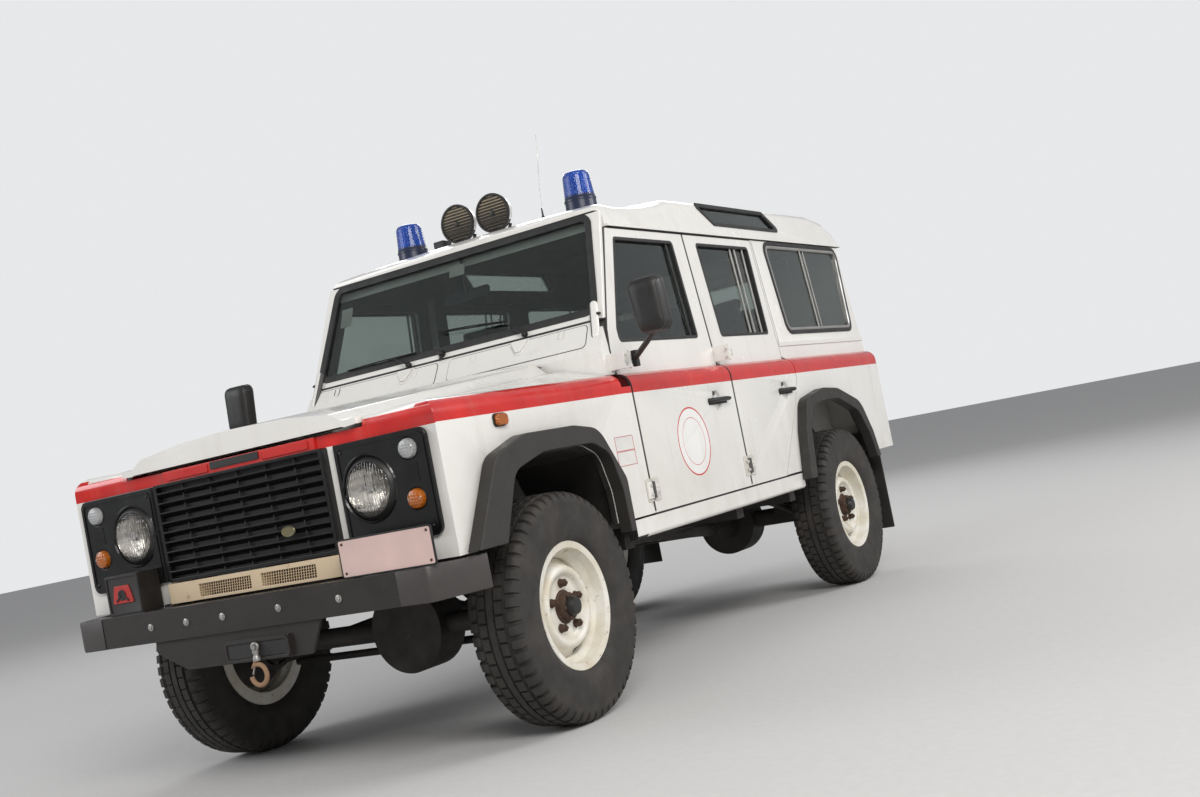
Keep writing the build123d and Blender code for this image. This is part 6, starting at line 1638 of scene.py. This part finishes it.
pad("bench_back", (0, back(2.374), 1.305), (0.62, 0.252, 0.033), math.radians(90 - 13.2),
    ((0, -0.205, -0.22, 0.22), (0, 0.205, -0.22, 0.22), (0, -0.41, -0.18, 0.18), (0, 0.41, -0.18, 0.18),
     (1, 0.05, -0.58, 0.58)), voxel=0.016, limit=0.008)

# Steering wheel: gripped rim, four spokes in two pairs, boss and column
steer_centre = Vector((0.4, back(0.938), 1.24))
steer_axis = Vector((0, 0.85, 0.53)).normalized()
steer_turn = Matrix((leftwards, steer_axis.cross(leftwards), steer_axis)).transposed()
steer_radius, grip_radius, rim_steps, rim_sides = 0.205, 0.0115, 96, 12


def on_rim(angle, radius, lift=0.0):
    return steer_centre + steer_turn @ Vector((radius * math.cos(angle), radius * math.sin(angle), lift))


def steering_rim(bm):
    """Ring with shallow finger grips inside."""
    rings = []
    for step in range(rim_steps):
        ring = []
        for turn in (2 * math.pi * side / rim_sides for side in range(rim_sides)):
            grip = grip_radius + (0.0012 if step % 3 == 0 and math.cos(turn) < 0.2 else 0.0)
            ring.append(on_rim(2 * math.pi * step / rim_steps, steer_radius + grip * math.cos(turn),
                               grip * 0.95 * math.sin(turn)))
        rings.append(points(bm, ring))
    skin(bm, rings + rings[:1])


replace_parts(piece("steering_rim", black_plastic, (steering_rim,), sharp=60), "steering_wheel")
piece("steering_boss", black_plastic,
      *((pipe, [on_rim(angle, radius, lift) for radius, lift in ((0.03, -0.012), (0.11, -0.006), (0.202, 0.0))],
         0.013, 10, False, 0.45) for angle in (0.3, math.pi - 0.3, math.pi + 0.45, -0.45)),
      (lathe, [(0.06, -0.024), (0.064, -0.004), (0.06, 0.01), (0.05, 0.017), (0.02, 0.02), (0, 0.02)],
       steer_centre, steer_axis, 32),
      (lathe, [(0.036, -0.12), (0.036, -0.055), (0.046, -0.03), (0.046, -0.022)], steer_centre, steer_axis, 28),
      sharp=50)
stalk_foot = steer_centre + steer_axis * -0.06
piece("column_stalks", trim_grey,
      *((pipe, [stalk_foot + Vector((way * out, dy, dz)) for out, dy, dz in
                ((0.03, 0, 0), (0.1, -0.004, 0.014), (0.15, -0.006, 0.02))], 0.006, 8) for way in (-1, 1)),
      slot="black_plastic", sharp=60)

# Dashboard: binnacle with blank dials, vents and a grab rail
hood_x, hood_z = 0.4, 1.24
hood = [(0.56, 1.215), *((hood_x + 0.16 * math.cos(a), 1.262 + 0.075 * math.sin(a))
                          for a in (math.pi * step / 12 for step in range(13))), (0.24, 1.215)]


def binnacle(bm):
    """Hood over the dials, open to the driver, with a lip and a sunk face."""
    rows = [points(bm, line) for line in (
        [(x, back(0.73), z) for x, z in hood], [(x, back(0.865), z + 0.006) for x, z in hood],
        [(hood_x + (x - hood_x) * 0.93, back(0.862), hood_z + (z - hood_z) * 0.88) for x, z in hood],
        [(hood_x + (x - hood_x) * 0.9, back(0.82), hood_z + (z - hood_z) * 0.85) for x, z in hood])]
    skin(bm, rows, around=False)
    bm.faces.new(rows[-1])
    bm.faces.new(rows[0])


piece("binnacle", black_plastic, (binnacle,), sharp=50)
piece("dials", gloss_black,
      *((lathe, [(radius, 0.0), (radius, 0.006), (radius * 0.93, 0.008), (radius * 0.9, 0.003), (0, 0.003)],
         (x, back(0.8205), z), -ahead, 32)
        for x, z, radius in ((0.335, 1.262, 0.042), (0.465, 1.262, 0.042), (hood_x, 1.292, 0.018),
                             (hood_x, 1.245, 0.018))))
for word, x in (("left", 0.65), ("middle_left", 0.11), ("middle_right", -0.03), ("right", -0.65)):
    piece(f"dash_vent_{word}", gloss_black,
          (ring_plate, back(0.858), rounded(rect(x - 0.055, 1.205, x + 0.055, 1.262), 0.01),
           rounded(rect(x - 0.048, 1.212, x + 0.048, 1.255), 0.006), 0.012),
          *((slab, (x - 0.049, back(0.86), z), (x + 0.049, back(0.868), z + 0.0025))
            for z in (1.218 + row * 0.0105 for row in range(4))), bevel=0.001)
piece("dash_grab_rail", black_plastic,
      (pipe, [(-0.2, back(0.85), 1.28), (-0.2, back(0.885), 1.29), (-0.56, back(0.885), 1.29),
              (-0.56, back(0.85), 1.28)], 0.012, 12), sharp=60)

# Mirror inside the windscreen
piece("inner_mirror", black_plastic,
      (flat_panel, rect(-0.115, 1.69, 0.125, 1.745), 0.018, on_screen, -0.097, -0.085), bevel=0.006, segments=3)
piece("inner_mirror_stem", black_plastic,
      (pipe, [on_screen(0.005, z, out) for z, out in ((1.718, -0.085), (1.775, -0.06), (1.855, -0.03))], 0.006, 10))

# Tail corners: a plate over the open pocket at the end of the shoulder
shoulder_outline = ((0.762, 1.131), (0.812, 1.131), (0.802, 1.152), (0.782, 1.174), (0.768, 1.18), (0.762, 1.176))
tail_face = back(tail_u)
both_sides("shoulder_plate", white, (prism, [(x, tail_face - 0.003, z) for x, z in shoulder_outline], (0, 0.0027, 0)))

# Tail door: window rubber, handle, hinge pins, and how the spare wheel is held
tail_window = ((-0.33, 1.33), (0.33, 1.33), (0.31, 1.74), (-0.31, 1.74))
tail_hinge_x, handle_x = -0.444, 0.375
rearwards = -ahead
piece("tail_window_seal", rubber,
      (seal, tail_window, 0.04, 0.012, 0.008, 0.006, 0.01, lambda p: Vector((p.x, tail_face + 0.0005, p.y)),
       rearwards), body="tail_door")
piece("tail_handle", black_plastic,
      (lathe, [(0.03, -0.002), (0.03, 0.004), (0.024, 0.008), (0, 0.008)], (handle_x, tail_face, 1.215), rearwards,
       28),
      (pipe, [(x, tail_face + out, z) for x, out, z in ((handle_x, 0.006, 1.215), (handle_x, 0.026, 1.212),
                                                        (0.365, 0.03, 1.18), (0.362, 0.028, 1.12))],
       0.0095, 10, False, 0.8),
      (lathe, [(0.01, 0), (0.01, 0.004), (0.004, 0.006), (0, 0.006)], (handle_x, tail_face + 0.0005, 1.258),
       rearwards, 20), body="tail_door", sharp=50)
for index, z in enumerate((0.93, 1.33, 1.7)):
    pin = Vector((tail_hinge_x, tail_face + 0.01, z))
    piece(f"tail_hinge_pin_{index}", hinge_steel,
          *((dome_bolt, pin + upwards * (way * pin_half), upwards * way, 0.0055, 0.0035) for way in (-1, 1)))
    piece(f"tail_hinge_bolts_{index}", hinge_steel,
          *((dome_bolt, pin + Vector((dx, 0, dz)), rearwards, 0.0052, 0.0028) for dx, dz in leaf_bolts),
          body="tail_door")
spare_nuts = []
for angle in (2 * math.pi * (index + 0.25) / 3 for index in range(3)):
    spot = spare_place + Vector((nut_circle * math.cos(angle), disc_face, nut_circle * math.sin(angle)))
    spare_nuts.append((lathe, nut_seat, spot, rearwards, 20))
    spare_nuts.append((hex_nut, spot + rearwards * 0.004, rearwards, 0.0145, 0.019))
piece("spare_nuts", rust, *spare_nuts, body="tail_door")

# Underside: coil springs round their dampers, radius arms, rear links and the exhaust
spring_x, spring_radius, wire_radius = 0.47, 0.049, 0.0072
spring_low, spring_high, spring_turns, spring_steps = 0.4575, 0.7175, 5.5, 150


def coil(bm, y):
    """Wire along a helix with flattened ends: its rings of points stand across the wire, out from the axis."""
    centre = Vector((spring_x, y, 0))
    line = []
    for step in range(spring_steps + 1):
        share = step / spring_steps
        rise = min(1.0, max(0.0, (share - 0.09) / 0.82))
        angle = 2 * math.pi * spring_turns * share
        line.append(centre + Vector((spring_radius * math.cos(angle), spring_radius * math.sin(angle),
                                     spring_low + (spring_high - spring_low) * rise)))
    rings = []
    for index, point in enumerate(line):
        along = (line[min(index + 1, len(line) - 1)] - line[max(index - 1, 0)]).normalized()
        out = Vector((point.x - centre.x, point.y - centre.y, 0)).normalized()
        up = along.cross(out).normalized()
        rings.append(points(bm, [point + (out * math.cos(a) + up * math.sin(a)) * wire_radius
                                 for a in (2 * math.pi * k / 8 for k in range(8))]))
    skin(bm, rings)
    bm.faces.new(list(reversed(rings[0])))
    bm.faces.new(rings[-1])


damper_profile = ((0, 0), (0.0255, 0.002), (0.0255, 0.15), (0.02, 0.156), (0.0085, 0.158), (0.0085, 0.262),
                  (0, 0.264))
for word, y in (("front", front_axle_y), ("rear", rear_axle_y)):
    coils = both_sides(f"coil_spring_{word}", chassis_paint, (coil, y), sharp=60)
    both_sides(f"damper_{word}", dark_iron, (lathe, damper_profile, (spring_x, y, 0.454), upwards, 20),
               *((lathe, [(0.0, low), (0.057, low), (0.057, high), (0.0, high)], (spring_x, y, 0), upwards, 28)
                 for low, high in ((0.4505, 0.456), (0.719, 0.7245))), slot="chassis_black")
    if word == "front":
        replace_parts(coils[0], "suspension")


def forged_arm(bm, x, rows, radius):
    """Forged bar with an eye and its bush at either end."""
    ends = [Vector((x, back(u), z)) for u, z in rows]
    pipe(bm, ends, radius, 12, flat=0.85)
    for end in (ends[0], ends[-1]):
        lathe(bm, [(0.008, -0.03), (0.0265, -0.029), (0.028, -0.024), (0.028, 0.024), (0.0265, 0.029),
                   (0.008, 0.03)], end, leftwards, 24)
        for way in (1, -1):
            hex_nut(bm, end + leftwards * (way * 0.03), leftwards * way, 0.013, 0.01)


for name, x, rows, radius in (("radius_arm", 0.32, ((0.0733, 0.402), (0.45, 0.418), (0.8197, 0.448)), 0.0185),
                              ("rear_link", 0.56, ((2.7147, 0.402), (2.5, 0.466), (2.2603, 0.528)), 0.0165)):
    both_sides(name, chassis_paint, (forged_arm, x, rows, radius), sharp=50)

# columns: across, back from the front axle, height
exhaust_route = ((-0.2503, 0.38, 0.7), (-0.29, 0.38, 0.7), (-0.29, 0.5, 0.6), (-0.25, 0.8, 0.345),
                 (-0.29, 1.5, 0.38), (-0.29, 2.0, 0.42), (-0.29, 2.2, 0.44), (-0.29, 2.6, 0.59),
                 (-0.29, 2.95, 0.59), (-0.3, 3.62, 0.54))


def bent(line, reach=0.09, most=0.38, steps=6):
    """Path whose corners are turned by smooth bends that start within reach of them."""
    out = [line[0]]
    for before, corner, after in zip(line, line[1:], line[2:]):
        a, b = (corner.lerp(end, min(most, reach / max(0.01, (end - corner).length))) for end in (before, after))
        for t in (step / steps for step in range(steps + 1)):
            out.append(a.lerp(corner, t).lerp(corner.lerp(b, t), t))
    return out + [line[-1]]


silencer_start = Vector((-0.29, back(1.48), 0.395))
silencer_line = Vector((-0.29, back(1.98), 0.4)) - silencer_start
end_profile = ((0.026, -0.03), (0.03, 0.0), (0.08, 0.004), (0.088, 0.01), (0.088, 0.016), (0.084, 0.022))
silencer_profile = [*end_profile, *((r, silencer_line.length - h) for r, h in reversed(end_profile))]
# columns: clamp's place, how far its axis falls towards the tail, per metre
clamps = ((-0.262, 0.7, 0.43, -0.8), (-0.29, 2.35, 0.505, 0.3))
exhaust_piece = piece(
    "exhaust_line", rust,
    (pipe, bent([Vector((x, back(u), z)) for x, u, z in exhaust_route]), 0.025, 16),
    (lathe, silencer_profile, silencer_start, silencer_line, 36),
    *((lathe, [(0.026, shift), (0.046, shift), (0.046, shift + 0.006), (0.026, shift + 0.006)], (x, back(u), z),
       (0, 1, slope), 20) for x, u, z, slope in clamps for shift in (-0.006, 0.002)),
    slot="exhaust_steel", sharp=50)
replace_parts(exhaust_piece, "exhaust")
# columns: hanger's place on the pipe, height of its upper end
hangers = []
for x, u, z, top in ((-0.29, 1.42, 0.384, 0.5), (-0.29, 2.08, 0.428, 0.51), (-0.295, 3.3, 0.564, 0.64)):
    hangers += [(pipe, [(x + dx, back(u), z + 0.02), (x + dx, back(u), top)], 0.006, 8) for dx in (-0.012, 0.012)]
    hangers.append((lathe, [(0.0262, -0.012), (0.03, -0.012), (0.03, 0.012), (0.0262, 0.012)], (x, back(u), z),
                    (0, 1, 0.02), 20))
piece("exhaust_hangers", rubber, *hangers, slot="exhaust_steel", sharp=50)

low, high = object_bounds()
